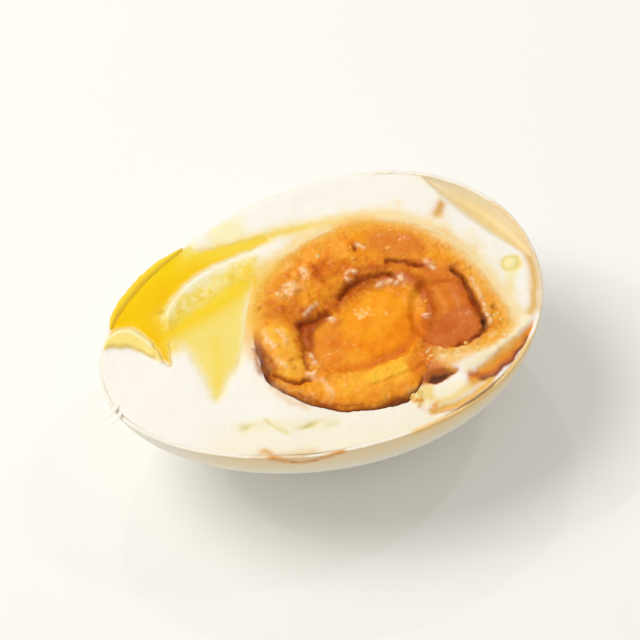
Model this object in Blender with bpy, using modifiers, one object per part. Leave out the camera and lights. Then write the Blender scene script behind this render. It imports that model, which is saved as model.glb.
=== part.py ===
"""Half of a salted duck egg, cut lengthwise, lying in its shell with the cut up.

The blunt end points to +X. Z = 0 is the small flat spot that the half rests on, and the
origin is under the middle of its length. Lengths below are in millimetres and are turned
to metres where a mesh is made. Heights of the relief are measured from the cut.
"""
import math

import bmesh
import bpy
from mathutils import Vector, noise

MM = 0.001

# The whole egg, and where it was cut
EGG_LENGTH = 65.0
EGG_BREADTH = 45.0
BLUNT_SHIFT = 4.3
CUT_BELOW_AXIS = 1.5
SHELL_THICKNESS = 0.6
FOOT_DEPTH = 0.4
GAP = 0.3
SLOPE_STEP = 0.001

AXIS_HEIGHT = EGG_BREADTH / 2 - FOOT_DEPTH
CUT_HEIGHT = AXIS_HEIGHT - CUT_BELOW_AXIS
TOP_OF_CUTTERS = 27.0
SHELL_TURNS = 44
WHITE_TURNS = 38
PROFILE_STEPS = 27
MERGE_GAP = 0.01

# Shell rim: a saw-rough edge, lower along the back, with (x, y, reach, depth) chips
RIM_ROUGHNESS = 0.16
RIM_ROUGH_SPAN = 3.0
RIM_BACK_DROP = 0.3
RIM_DROP_IN_Y = (-4, 12)
RIM_DROP_IN_X = (16, 2)
RIM_CHIPS = ((-8.2, -21.4, 3.4, 0.7), (18.0, -19.4, 4.6, 0.5), (-31.0, -5.0, 2.0, 0.4),
             (9.0, 22.0, 4.0, 0.3))
RIM_CELL = 2.0
RIM_MARGIN = 1.3

# White: a soft wavy cut, with (x, y, reach, height) lobes that the knife pushed up
WHITE_WAVE = 0.32
WHITE_WAVE_SPAN = 9.0
WHITE_EDGE_ROLL = 0.5
WHITE_ROLL_FROM = 0.9
TIP_HALF_WIDTH = 0.1
WHITE_CELL = 1.3
WHITE_MARGIN = 0.7
LOBE_BREADTH = 0.6
WHITE_LOBES = ((21.5, -12.8, 3.6, 0.9), (13.0, -18.2, 3.0, 0.8), (-25.5, 5.0, 3.2, 0.5),
               (17.0, -13.0, 2.2, 0.5))

# Flap of white between the two pools of oil: steep towards the back, gentle to the front
FLAP_PATH = ((-20.9, 8.4), (-17.6, 10.9), (-14.0, 12.5), (-7.5, 13.7), (0.0, 13.8))
FLAP_RISE = 1.1
FLAP_TAPER = 0.6
FLAP_STEEP = 1.0
FLAP_GENTLE = 2.6

# Groove where the white has broken away from the shell, and the hole beside the yolk
RIM_GROOVE = ((9.5, -20.6), (15.5, -19.3), (20.5, -17.4), (24.5, -14.9), (27.5, -12.2))
RIM_GROOVE_DEPTH = 1.5
RIM_GROOVE_WIDTH = 1.1
YOLK_HOLE = (12.8, -15.3)
YOLK_HOLE_REACH = (2.8, 1.1)
YOLK_HOLE_DEPTH = 2.0

# Air cell at the blunt end: the end of the white is a shallow dish away from the shell
AIR_CELL_DISH = 54.0
AIR_CELL_CHORD = (26.5, 8.6)
AIR_CELL_TURN = 27.8
AIR_CELL_HOLLOW = 1.1
AIR_CELL_TURNS = 96

# Yolk: a ball whose outline at the cut is an ellipse with (angle, reach, spread) corners
YOLK_CENTRE = (7.7, -2.0)
YOLK_HALF_SIZE = (17.1, 15.6)
YOLK_DEPTH = 13.5
YOLK_CROWN = 5.0
YOLK_CORNERS = ((336, 2.6, 19), (298, -4.6, 18), (207, 0.9, 26), (17, -0.8, 26))
YOLK_CORNER_DEPTH = 7.0
YOLK_SINK = 0.35
YOLK_CRUMB = 0.42
YOLK_CRUMB_SPAN = 1.9
YOLK_CELL = 1.15
YOLK_MARGIN = (3.5, 3.0)
YOLK_TURNS = 48
YOLK_RINGS = 16

# Hollows torn in the cut yolk: (x, y, half length, half width, depth)
YOLK_BOWLS = ((5.3, -3.4, 9.2, 8.0, 1.5), (17.2, -5.4, 5.4, 6.6, 1.0))
BOWL_RIM = 1.08
BOWL_FLOOR = 0.78
# Lumps that stand up on it: (x, y, half length, half width, height)
YOLK_LUMPS = ((-5.9, -3.2, 2.6, 4.8, 0.8), (-2.6, 4.6, 2.6, 2.4, 0.6), (0.4, 8.0, 2.6, 2.0, 0.5),
              (5.0, -12.8, 6.0, 2.6, 0.5), (7.0, 9.0, 2.4, 1.8, 0.3))
# Clefts in it: (path, depth, half width)
YOLK_CLEFTS = ((((-1.9, 1.2), (2.8, 2.0), (7.2, 4.0), (12.1, 2.6)), 0.9, 0.9),
               (((21.3, 0.6), (21.9, -4.5), (21.7, -9.6), (16.4, -11.1)), 1.2, 0.8),
               (((-10.4, -3.6), (-7.6, -11.0), (-0.2, -16.1), (7.7, -17.4)), 1.1, 0.8),
               (((-2.3, 1.0), (-3.3, -3.5), (-3.7, -6.9)), 0.7, 0.8))

# Firm ball in the middle of the yolk, its cut top worn to a low dome
CORE_CENTRE = (8.2, -3.4)
CORE_SINK = 2.5
CORE_HALF_SIZE = (6.1, 6.3, 5.4)
CORE_DOME = 0.42
CORE_TURNS = 26

# Oil: two pools that meet round the flap, as (x, y, half width) along each one
OIL_SINK = 0.3
OIL_EDGE = 0.35
SLANT = 1.4
COURSE_STEP = 0.01
OIL_BAND = ((-22.2, 0.9, 0.4), (-22.5, 4.6, 1.7), (-23.1, 8.5, 2.4), (-20.8, 11.8, 2.3),
            (-16.9, 14.1, 1.9), (-12.9, 15.1, 1.4), (-9.0, 15.4, 0.8), (-4.0, 15.6, 0.7),
            (0.5, 15.5, 0.4))
OIL_BAND_DEPTH = 1.3
BAND_CELLS = (24, 4)
OIL_APRON = ((-17.4, -7.4, 0.4), (-15.8, -3.4, 1.5), (-14.5, -0.2, 3.1), (-14.6, 2.6, 4.4),
             (-15.1, 5.2, 6.3), (-15.4, 7.6, 5.4))
OIL_APRON_DEPTH = 0.9
APRON_CELLS = (14, 6)

# Where each cut face's noise is read, so that no two are alike
RIM_SEED = 0.5
WHITE_SEED = 3.7
YOLK_SEED = 8.1

# Plain colours and roughness of the parts
SHELL_LOOK = ((0.80, 0.79, 0.70), 0.42)
WHITE_LOOK = ((0.93, 0.88, 0.78), 0.45)
YOLK_LOOK = ((0.80, 0.30, 0.04), 0.35)
CORE_LOOK = ((0.90, 0.33, 0.02), 0.25)
OIL_LOOK = ((0.96, 0.58, 0.01), 0.12)


def fresh_collection(name):
    """An empty collection in the scene."""
    collection = bpy.data.collections.new(name)
    bpy.context.scene.collection.children.link(collection)
    return collection


def add_object(name, mesh, collection):
    """A new object for a mesh."""
    made = bpy.data.objects.new(name, mesh)
    collection.objects.link(made)
    return made


def finish_mesh(name, shape):
    """Turn a bmesh in millimetres into a mesh in metres."""
    bmesh.ops.scale(shape, vec=(MM, MM, MM), verts=shape.verts)
    mesh = bpy.data.meshes.new(name)
    shape.to_mesh(mesh)
    shape.free()
    return mesh


def give_material(part, look):
    """A plain material of its own, for a part shaded smooth up to its cut edges."""
    colour, roughness = look
    material = bpy.data.materials.new(part.name)
    material.use_nodes = True
    shader = material.node_tree.nodes["Principled BSDF"]
    shader.inputs["Base Color"].default_value = (*colour, 1)
    shader.inputs["Roughness"].default_value = roughness
    part.data.materials.append(material)
    part.data.shade_smooth()


def as_cutter(cutter):
    """Mark an object as one that only shapes others."""
    cutter.hide_render = True
    cutter.display_type = "WIRE"
    return cutter


def cut(part, cutter, operation="DIFFERENCE"):
    """Add a Boolean that cuts the part, or joins it, with another object."""
    step = part.modifiers.new(cutter.name, "BOOLEAN")
    step.operation = operation
    step.solver = "EXACT"
    step.object = cutter


def egg_radius(phi):
    """Radius of the egg at an angle from its blunt end, by Hugelschaffer's construction."""
    slant = EGG_LENGTH ** 2 - 4 * BLUNT_SHIFT * EGG_LENGTH * math.cos(phi) + 4 * BLUNT_SHIFT ** 2
    return EGG_BREADTH / 2 * EGG_LENGTH * math.sin(phi) / math.sqrt(slant)


def egg_point(phi, inset):
    """Place along the axis, and radius, of the egg's surface moved inwards by inset."""
    along = EGG_LENGTH / 2 * math.cos(phi)
    run = -EGG_LENGTH / 2 * math.sin(phi)
    climb = (egg_radius(phi + SLOPE_STEP) - egg_radius(phi - SLOPE_STEP)) / (2 * SLOPE_STEP)
    slope = math.hypot(run, climb)
    return along - inset * climb / slope, egg_radius(phi) + inset * run / slope


def turned_egg(name, inset, turns, collection):
    """The egg's surface, moved inwards by inset and turned about its long axis."""
    shape = bmesh.new()
    points = []
    for step in range(PROFILE_STEPS + 1):
        along, radius = egg_point(math.pi * step / PROFILE_STEPS, inset)
        if step in (0, PROFILE_STEPS):
            radius = 0
        points.append(shape.verts.new((radius, 0, along)))
    for start, end in zip(points, points[1:]):
        shape.edges.new((start, end))
    egg = add_object(name, finish_mesh(name, shape), collection)
    egg.rotation_euler = (0, math.pi / 2, 0)
    egg.location = (0, 0, AXIS_HEIGHT * MM)
    turn = egg.modifiers.new("turn", "SCREW")
    turn.steps = turns
    turn.render_steps = turns
    turn.use_merge_vertices = True
    turn.merge_threshold = MERGE_GAP * MM
    turn.use_smooth_shade = True
    return egg


def half_width(x):
    """Half of the egg's width at the cut, at a place along its length."""
    phi = math.acos(max(-1.0, min(1.0, 2 * x / EGG_LENGTH)))
    return math.sqrt(max(TIP_HALF_WIDTH ** 2, egg_radius(phi) ** 2 - CUT_BELOW_AXIS ** 2))


def ease(low, high, value):
    """0 below low, 1 above high, and a smooth step between them."""
    share = max(0.0, min(1.0, (value - low) / (high - low)))
    return share * share * (3 - 2 * share)


def mound(x, y, place, reach):
    """1 at a place, dying away over a reach given along X and along Y."""
    return math.exp(-((x - place[0]) / reach[0]) ** 2 - ((y - place[1]) / reach[1]) ** 2)


def nearest(x, y, path):
    """Distance from a path, which side of it the place is on, and the share along it."""
    best = (1000.0, 1.0, 0.0)
    spans = len(path) - 1
    for index, (start, end) in enumerate(zip(path, path[1:])):
        run, climb = end[0] - start[0], end[1] - start[1]
        share = ((x - start[0]) * run + (y - start[1]) * climb) / (run ** 2 + climb ** 2)
        share = max(0.0, min(1.0, share))
        off_x, off_y = x - start[0] - share * run, y - start[1] - share * climb
        away = math.hypot(off_x, off_y)
        if away < best[0]:
            side = 1.0 if run * off_y - climb * off_x > 0 else -1.0
            best = (away, side, (index + share) / spans)
    return best


def roughness(x, y, span, seed):
    """Smooth noise from -1 to 1 with bumps about one span apart."""
    return noise.noise(Vector((x / span, y / span, seed)))


def rim_height(x, y):
    """Height of the shell's broken rim."""
    rise = RIM_ROUGHNESS * roughness(x, y, RIM_ROUGH_SPAN, RIM_SEED)
    rise -= RIM_BACK_DROP * ease(*RIM_DROP_IN_Y, y) * ease(*RIM_DROP_IN_X, x)
    for chip_x, chip_y, reach, depth in RIM_CHIPS:
        rise -= depth * mound(x, y, (chip_x, chip_y), (reach, reach))
    return rise


def white_height(x, y):
    """Height of the cut face of the white."""
    rise = WHITE_WAVE * roughness(x, y, WHITE_WAVE_SPAN, WHITE_SEED)
    rise -= WHITE_EDGE_ROLL * ease(WHITE_ROLL_FROM, 1.0, abs(y) / half_width(x))
    away, side, share = nearest(x, y, FLAP_PATH)
    reach = FLAP_STEEP if side > 0 else FLAP_GENTLE
    rise += FLAP_RISE * (1 - FLAP_TAPER * share) * math.exp(-(away / reach) ** 2)
    for lobe_x, lobe_y, reach, height in WHITE_LOBES:
        rise += height * mound(x, y, (lobe_x, lobe_y), (reach, LOBE_BREADTH * reach))
    away = nearest(x, y, RIM_GROOVE)[0]
    rise -= RIM_GROOVE_DEPTH * math.exp(-(away / RIM_GROOVE_WIDTH) ** 2)
    rise -= YOLK_HOLE_DEPTH * mound(x, y, YOLK_HOLE, YOLK_HOLE_REACH)
    return rise


def yolk_height(x, y):
    """Height of the cut, crumbly face of the yolk."""
    rise = -YOLK_SINK + YOLK_CRUMB * roughness(x, y, YOLK_CRUMB_SPAN, YOLK_SEED)
    for bowl_x, bowl_y, half_length, half_breadth, depth in YOLK_BOWLS:
        out = math.hypot((x - bowl_x) / half_length, (y - bowl_y) / half_breadth)
        rise -= depth * ease(BOWL_RIM, BOWL_FLOOR, out)
    for lump_x, lump_y, half_length, half_breadth, height in YOLK_LUMPS:
        rise += height * mound(x, y, (lump_x, lump_y), (half_length, half_breadth))
    for path, depth, reach in YOLK_CLEFTS:
        rise -= depth * math.exp(-(nearest(x, y, path)[0] / reach) ** 2)
    return rise


def air_above(name, height, low, high, cell, collection):
    """A block of the air over a cut face, its underside shaped by height(x, y)."""
    shape = bmesh.new()
    cells_x = round((high[0] - low[0]) / cell)
    cells_y = round((high[1] - low[1]) / cell)
    bmesh.ops.create_grid(shape, x_segments=cells_x, y_segments=cells_y, size=1)
    for vert in shape.verts:
        x = low[0] + (high[0] - low[0]) * (vert.co.x + 1) / 2
        y = low[1] + (high[1] - low[1]) * (vert.co.y + 1) / 2
        vert.co = (x, y, CUT_HEIGHT + height(x, y))
    lifted = bmesh.ops.extrude_face_region(shape, geom=shape.faces[:])["geom"]
    for vert in lifted:
        if isinstance(vert, bmesh.types.BMVert):
            vert.co.z = CUT_HEIGHT + TOP_OF_CUTTERS
    bmesh.ops.recalc_face_normals(shape, faces=shape.faces)
    return as_cutter(add_object(name, finish_mesh(name, shape), collection))


def yolk_ball(name, grow, collection):
    """The yolk's ball before its top is cut, made larger all round by grow."""
    shape = bmesh.new()
    bmesh.ops.create_uvsphere(shape, u_segments=YOLK_TURNS, v_segments=YOLK_RINGS, radius=1)
    for vert in shape.verts:
        angle = math.atan2(vert.co.y, vert.co.x)
        level = vert.co.z
        rise = level * ((YOLK_DEPTH + grow) if level < 0 else (YOLK_CROWN + grow))
        reach = 1 / math.hypot(math.cos(angle) / YOLK_HALF_SIZE[0],
                               math.sin(angle) / YOLK_HALF_SIZE[1])
        for middle, corner, spread in YOLK_CORNERS:
            off = (math.degrees(angle) - middle + 180) % 360 - 180
            fade = ease(-YOLK_CORNER_DEPTH, 0, rise)
            reach += corner * fade * math.exp(-(off / spread) ** 2)
        across = math.hypot(vert.co.x, vert.co.y) * (reach + grow)
        vert.co.x = YOLK_CENTRE[0] + across * math.cos(angle)
        vert.co.y = YOLK_CENTRE[1] + across * math.sin(angle)
        vert.co.z = CUT_HEIGHT + rise
    return add_object(name, finish_mesh(name, shape), collection)


def core_ball(name, grow, collection):
    """The firm ball in the yolk, made larger all round by grow."""
    shape = bmesh.new()
    bmesh.ops.create_uvsphere(shape, u_segments=CORE_TURNS, v_segments=CORE_TURNS // 2, radius=1)
    for vert in shape.verts:
        rise = vert.co.z * (CORE_HALF_SIZE[2] + grow)
        if rise > 0:
            rise *= CORE_DOME
        vert.co.x = CORE_CENTRE[0] + vert.co.x * (CORE_HALF_SIZE[0] + grow)
        vert.co.y = CORE_CENTRE[1] + vert.co.y * (CORE_HALF_SIZE[1] + grow)
        vert.co.z = CUT_HEIGHT - CORE_SINK + rise
    return add_object(name, finish_mesh(name, shape), collection)


def curve_through(points, share):
    """A point on the smooth Catmull-Rom curve through points, at a share of its length."""
    spans = len(points) - 1
    index = min(int(share * spans), spans - 1)
    step = share * spans - index
    before = points[max(index - 1, 0)]
    start, end = points[index], points[index + 1]
    after = points[min(index + 2, spans)]
    return tuple(0.5 * (2 * b + (c - a) * step + (2 * a - 5 * b + 4 * c - d) * step ** 2
                        + (3 * b - a - 3 * c + d) * step ** 3)
                 for a, b, c, d in zip(before, start, end, after))


def pool(name, course, depth, cells, grow, collection):
    """A pool of oil along a course: flat on top, lens-shaped below, made larger by grow."""
    shape = bmesh.new()
    bmesh.ops.create_grid(shape, x_segments=cells[0], y_segments=cells[1], size=1)
    shares = {}
    for vert in shape.verts:
        share = (vert.co.x + 1) / 2
        aside = vert.co.y
        x, y, reach = curve_through(course, share)
        ahead = curve_through(course, min(share + COURSE_STEP, 1))
        behind = curve_through(course, max(share - COURSE_STEP, 0))
        run, climb = ahead[0] - behind[0], ahead[1] - behind[1]
        length = math.hypot(run, climb)
        run, climb = run / length, climb / length
        reach += SLANT * grow
        beyond = grow * (2 * share - 1) if share in (0, 1) else 0
        shares[vert] = (1 - aside ** 2) * math.sin(math.pi * share)
        x += beyond * run - aside * reach * climb
        y += beyond * climb + aside * reach * run
        vert.co = (x, y, CUT_HEIGHT - OIL_SINK)
    top = shape.verts[:]
    places = [shares[vert] for vert in top]
    floor = bmesh.ops.extrude_face_region(shape, geom=shape.faces[:])["geom"]
    floor = [vert for vert in floor if isinstance(vert, bmesh.types.BMVert)]
    for vert, place in zip(floor, places):
        vert.co.z -= OIL_EDGE + grow + depth * place
    if grow:
        for vert in top:
            vert.co.z += TOP_OF_CUTTERS
    bmesh.ops.recalc_face_normals(shape, faces=shape.faces)
    return add_object(name, finish_mesh(name, shape), collection)


def foot_block(collection):
    """Block below the floor level, which leaves the flat spot to rest on."""
    shape = bmesh.new()
    bmesh.ops.create_cube(shape, size=EGG_LENGTH)
    bmesh.ops.translate(shape, vec=(0, 0, -EGG_LENGTH / 2), verts=shape.verts)
    return as_cutter(add_object("foot_block", finish_mesh("foot_block", shape), collection))


def air_cell_ball(collection):
    """Large ball that leaves a shallow dish at the blunt end of the white."""
    shape = bmesh.new()
    bmesh.ops.create_uvsphere(shape, u_segments=AIR_CELL_TURNS, v_segments=AIR_CELL_TURNS // 2,
                              radius=AIR_CELL_DISH)
    turn = math.radians(AIR_CELL_TURN)
    reach = AIR_CELL_DISH - AIR_CELL_HOLLOW
    place = (AIR_CELL_CHORD[0] + reach * math.cos(turn),
             AIR_CELL_CHORD[1] + reach * math.sin(turn), CUT_HEIGHT)
    bmesh.ops.translate(shape, vec=place, verts=shape.verts)
    return as_cutter(add_object("air_cell", finish_mesh("air_cell", shape), collection))


def build_shell(parts, cutters):
    """Thin shell, cut lengthwise, with a chipped rim and a flat spot below."""
    shell = turned_egg("shell", 0, SHELL_TURNS, parts)
    wall = shell.modifiers.new("wall", "SOLIDIFY")
    wall.thickness = SHELL_THICKNESS * MM
    wall.offset = -1
    reach = (EGG_LENGTH / 2 + RIM_MARGIN, EGG_BREADTH / 2 + RIM_MARGIN)
    rim = air_above("air_over_rim", rim_height, (-reach[0], -reach[1]), reach, RIM_CELL, cutters)
    cut(shell, rim)
    cut(shell, foot_block(cutters))
    give_material(shell, SHELL_LOOK)


def build_white(parts, cutters):
    """Firm white that fills the shell, with hollows for the yolk and for the oil."""
    white = turned_egg("white", SHELL_THICKNESS + GAP, WHITE_TURNS, parts)
    reach = (EGG_LENGTH / 2 + WHITE_MARGIN, EGG_BREADTH / 2 + WHITE_MARGIN)
    low = (-reach[0], -reach[1])
    cut(white, air_above("air_over_white", white_height, low, reach, WHITE_CELL, cutters))
    cut(white, as_cutter(yolk_ball("yolk_hollow", SLANT * GAP, cutters)))
    band = pool("band_hollow", OIL_BAND, OIL_BAND_DEPTH, BAND_CELLS, GAP, cutters)
    cut(white, as_cutter(band))
    apron = pool("apron_hollow", OIL_APRON, OIL_APRON_DEPTH, APRON_CELLS, GAP, cutters)
    cut(white, as_cutter(apron))
    cut(white, air_cell_ball(cutters))
    give_material(white, WHITE_LOOK)


def build_yolk(parts, cutters):
    """Crumbly outer yolk, hollowed round its core."""
    yolk = yolk_ball("yolk", 0, parts)
    reach = (YOLK_HALF_SIZE[0] + YOLK_MARGIN[0], YOLK_HALF_SIZE[1] + YOLK_MARGIN[1])
    low = (YOLK_CENTRE[0] - reach[0], YOLK_CENTRE[1] - reach[1])
    high = (YOLK_CENTRE[0] + reach[0], YOLK_CENTRE[1] + reach[1])
    cut(yolk, air_above("air_over_yolk", yolk_height, low, high, YOLK_CELL, cutters))
    cut(yolk, as_cutter(core_ball("core_hollow", GAP, cutters)))
    give_material(yolk, YOLK_LOOK)
    core = core_ball("yolk_core", 0, parts)
    give_material(core, CORE_LOOK)


def build_oil(parts, cutters):
    """Yellow oil lying in the hollows of the white."""
    oil = pool("yolk_oil", OIL_BAND, OIL_BAND_DEPTH, BAND_CELLS, 0, parts)
    apron = pool("oil_apron", OIL_APRON, OIL_APRON_DEPTH, APRON_CELLS, 0, cutters)
    cut(oil, as_cutter(apron), "UNION")
    give_material(oil, OIL_LOOK)


def main():
    """Clear the scene and build the half egg."""
    for old in list(bpy.data.objects):
        bpy.data.objects.remove(old, do_unlink=True)
    parts = fresh_collection("salted_duck_egg")
    cutters = fresh_collection("cutters")
    build_shell(parts, cutters)
    build_white(parts, cutters)
    build_yolk(parts, cutters)
    build_oil(parts, cutters)


main()
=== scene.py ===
"""Looks of half a salted duck egg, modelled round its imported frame.

Lengths are in millimetres until a mesh is finished. X runs to the blunt end and Y to the
back. Heights of the relief are measured from the cut face, which is Z = 0 up to then.
"""
import math
import random

import bpy
import numpy as np
from mathutils import Matrix, Vector, noise


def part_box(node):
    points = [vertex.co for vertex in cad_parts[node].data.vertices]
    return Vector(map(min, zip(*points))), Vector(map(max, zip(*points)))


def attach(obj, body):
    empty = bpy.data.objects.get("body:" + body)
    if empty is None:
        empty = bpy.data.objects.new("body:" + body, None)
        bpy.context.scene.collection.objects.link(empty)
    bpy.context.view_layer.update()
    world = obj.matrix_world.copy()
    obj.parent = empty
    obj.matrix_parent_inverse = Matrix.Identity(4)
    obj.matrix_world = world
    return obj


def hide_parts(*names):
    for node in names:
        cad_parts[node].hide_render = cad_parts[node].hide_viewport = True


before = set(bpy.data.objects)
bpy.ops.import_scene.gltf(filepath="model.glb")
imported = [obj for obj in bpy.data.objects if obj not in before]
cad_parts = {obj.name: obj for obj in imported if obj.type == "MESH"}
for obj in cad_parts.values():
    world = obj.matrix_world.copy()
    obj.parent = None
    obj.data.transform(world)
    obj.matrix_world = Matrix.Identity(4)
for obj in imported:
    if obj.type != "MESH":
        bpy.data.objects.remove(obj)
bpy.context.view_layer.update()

MM = 0.001

# How near points are joined, a distance past everything, and the steps that find the egg's surface
WELD_GAP = 0.0004 * MM
FAR = 1000.0
HALVINGS = 26

# Sockets of a Mix node in its colour mode
MIX_SHARE, MIX_A, MIX_B, MIXED = 0, 6, 7, 2

# The whole egg, and where it was cut
EGG_LENGTH = 65.0
EGG_BREADTH = 45.0
BLUNT_SHIFT = 4.3
AXIS_OVER_CUT = 1.5
SHELL_THICKNESS = 0.6
OIL_SINK = 0.3
CUT_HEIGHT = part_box("yolk_oil")[1].z / MM + OIL_SINK
FOOT_LEVEL = -CUT_HEIGHT

# Air cell: the white ends in a shallow dish at the blunt end, away from the shell
AIR_CELL_DISH = 54.0
AIR_CELL_CHORD = (26.5, 8.6)
AIR_CELL_TURN = math.radians(27.8)
AIR_CELL_HOLLOW = 1.1

# Yolk: an ellipse with (angle, reach, spread) corners at the cut, and a ball below it. The noise
# of its outline is read round a circle
YOLK_CENTRE = (7.7, -2.0)
YOLK_HALF_SIZE = (17.1, 15.6)
YOLK_DEPTH = 13.5
YOLK_ROUGH_REACH = 16
YOLK_CORNERS = (
    (336, 2.6, 19), (298, -4.6, 18), (207, 0.9, 26), (17, -0.8, 26), (147, 0.7, 22), (194, 0.7, 14),
    (62, -0.3, 24), (348, -0.6, 15), (312, -0.5, 9), (281, -0.6, 8))
YOLK_CORNER_DEPTH = 7.0
YOLK_SINK = 0.08
CORE_CENTRE = (8.2, -3.4)
CORE_SINK = 2.5
CORE_HALF_SIZE = (6.1, 6.3, 5.4)

# Outlines, as x and y in turn, of the deep oil pool, the shallow one and the flap that hangs over
# it, and the places along the flap's edge
OIL_BAND = (
    -29.6, 8.6, -27.4, 12.6, -24.6, 15.4, -20.6, 17.8, -17, 19.4, -13.9, 18.6, -12.6, 17.3, -9.6, 16.7,
    -6.4, 16.4, -3, 16, -3.2, 15.2, -8, 14.5, -12, 14, -14.8, 13.1, -17.6, 11.6, -20.1, 9.5, -21, 6.8,
    -21.4, 3.8, -22, 0.7, -22.8, 2, -23.3, 4.8, -24.1, 6.9, -25.5, 8.4, -27.2, 8.9)
OIL_APRON = (
    -20.8, 5.2, -19.2, 3, -18.5, -1, -18.1, -6.6, -17.5, -7, -15.8, -5.2, -13.6, -3.4, -11.9, -1.2,
    -10.7, 1.4, -9.6, 4.2, -8.3, 6.6, -7.3, 9.8, -9.4, 11, -14, 8.7, -18.6, 7.5)
FLAP_LOBE = (
    -30.2, 6.8, -29.2, 8.2, -27.2, 8.8, -25.4, 8.2, -24, 6.6, -23.3, 4.6, -22.9, 1.6, -23.9, 2.4,
    -25.1, 4, -26.4, 5.3, -28, 6.1, -29.8, 6.3)
FLAP_PATH = ((-20.4, 8.6), (-17.2, 11.1), (-13.7, 12.8), (-7.4, 13.8), (0, 13.7))

# Outlines of the white lobes over the yolk at the front, and of the hollows round them
LOBE_RIGHT = (
    13.3, -12.2, 15.6, -12.4, 19, -12.9, 22.5, -12.4, 25.6, -11.5, 27.8, -10.5, 28.2, -11.2, 25.5, -12.9,
    21.5, -14.6, 17.5, -15.6, 15.6, -15, 14, -13.4)
LOBE_LOW = (
    8.2, -16.7, 10.4, -16.1, 13.2, -16.5, 16.2, -16.7, 17.2, -17.6, 15.8, -18.9, 12.4, -19.6, 9.6, -19.7,
    8.2, -18.6)
RIM_CRACK = (
    16.4, -16.8, 20, -15.2, 24, -13.6, 28, -11.5, 28.8, -12, 26, -14.2, 22.5, -16.5, 19.5, -17.8,
    17, -17.9)
DARK_POCKET = (
    10.8, -15.4, 11.7, -14.7, 12.8, -14.5, 13.8, -14.8, 14.9, -15.3, 13.8, -15.5, 12.6, -15.8,
    11.4, -15.8)

# The camera's axes, from the fitted view of the cut rim, what it aims at in millimetres, and how
# far the lights stand from there in metres
CAMERA_RIGHT = Vector((0.9428, -0.3267, -0.0663))
CAMERA_UP = Vector((0.3116, 0.7930, 0.5234))
CAMERA_AIM = (0.08, -0.14)
FRAME_WIDTH = 90.68
LENS = 300.0
SENSOR = 36.0
LIGHT_DISTANCE = 0.9

# Relief of the cut white: (kind, height, size, points as x and y in turn)
WHITE_RELIEF = (
    ("patch", 0.35, 1.1, LOBE_RIGHT),
    ("patch", 0.3, 1, LOBE_LOW),
    ("patch", -0.4, 0.8, RIM_CRACK),
    ("line", -0.12, 0.5, (9.8, -20.3, 13.5, -20.2, 17.5, -19, 20.5, -17.6)),
    ("patch", -0.8, 0.65, DARK_POCKET),
    ("spot", -0.14, (0.9, 0.5), (-15.2, -13)),
    ("line", -0.1, 0.4, (-12.2, -13.3, -11.4, -14.6, -10.4, -15.9)),
    ("spot", -0.18, (1.2, 0.45), (-7, -16)),
    ("spot", -0.2, (0.5, 0.4), (19, 20.3)),
    ("ring", -0.12, (1.1, 0.4), (28.6, -1)),
)

# Paint on the white: (kind, colour, strength, size, points)
WHITE_PAINT = (
    ("patch", "#FBEFD0", 0.7, 3.5, (-20, -13, -8, -17, 6, -19, 14, -20.5, 0, -26, -20, -20)),
    ("line", "#FBD27C", 0.8, 1.1, (6, 13.9, 9.5, 14.4, 13, 13.4, 16, 11.9)),
    ("line", "#F6C24E", 0.7, 0.6, (8.4, 13.6, 10.2, 14.1, 12.4, 13.3)),
    ("line", "#F8E294", 0.8, 1.3, (-9, 16.6, -5, 16.2, 0, 15.9, 4.5, 15.2, 8, 14.3)),
    ("line", "#F7D660", 0.9, 0.65, (-9, 16.4, -5, 16, 0, 15.8, 4.5, 15.1, 8, 14.2)),
    ("patch", "#FBF0B4", 0.75, 1.2, (-10.4, 17.4, -5.6, 17.2, -5.2, 20.5, -9.5, 20.5)),
    ("line", "#F8EFC8", 0.7, 1.2, (-16, -13, -12, -14, -7, -16, -3.6, -16.6)),
    ("spot", "#DFD48A", 0.75, (1.2, 0.5), (-15.2, -13)),
    ("line", "#E6DB94", 0.7, 0.4, (-12.4, -13, -11.4, -14.6, -10.2, -16)),
    ("spot", "#D8CC74", 0.8, (1.5, 0.45), (-7, -15.9)),
    ("spot", "#E8E0B0", 0.7, (1.1, 0.4), (-4, -16.8)),
    ("spot", "#D0CA92", 0.7, (0.6, 0.4), (19, 20.3)),
    ("line", "#F2D2A0", 0.6, 0.5, (22.8, 12, 23.5, 13.6)),
    ("line", "#E0A64C", 0.95, 0.75, (22.6, 11.8, 22.1, 11.2, 21.6, 10.5)),
    ("spot", "#F9EF9E", 0.85, (1.2, 1.2), (28.6, -1)),
    ("ring", "#F3DC74", 0.8, (1.05, 0.4), (28.6, -1)),
    ("line", "#F8EBA4", 0.7, 0.7, (28.2, -2.4, 27.4, -3.8, 26.8, -5.4)),
    ("line", "#FAEFCC", 0.8, 0.8, (20.8, 19.2, 23.6, 13.6, 26.4, 8.9, 30.8, 1.6)),
    ("patch", "#EBC88C", 0.75, 0.9, (-15, -17.6, -12, -18.9, -9.4, -19.4, -7.2, -20.2, -9, -21.6,
        -15, -19.8)),
    ("line", "#E6B266", 0.85, 0.45, (-14.4, -17.6, -13.2, -18.9, -12.2, -20.2)),
    ("line", "#E6BA62", 0.95, 0.75, (31.4, 0, 31.1, -3, 30.3, -6, 29.2, -8.6, 28.2, -9.8)),
)

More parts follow.
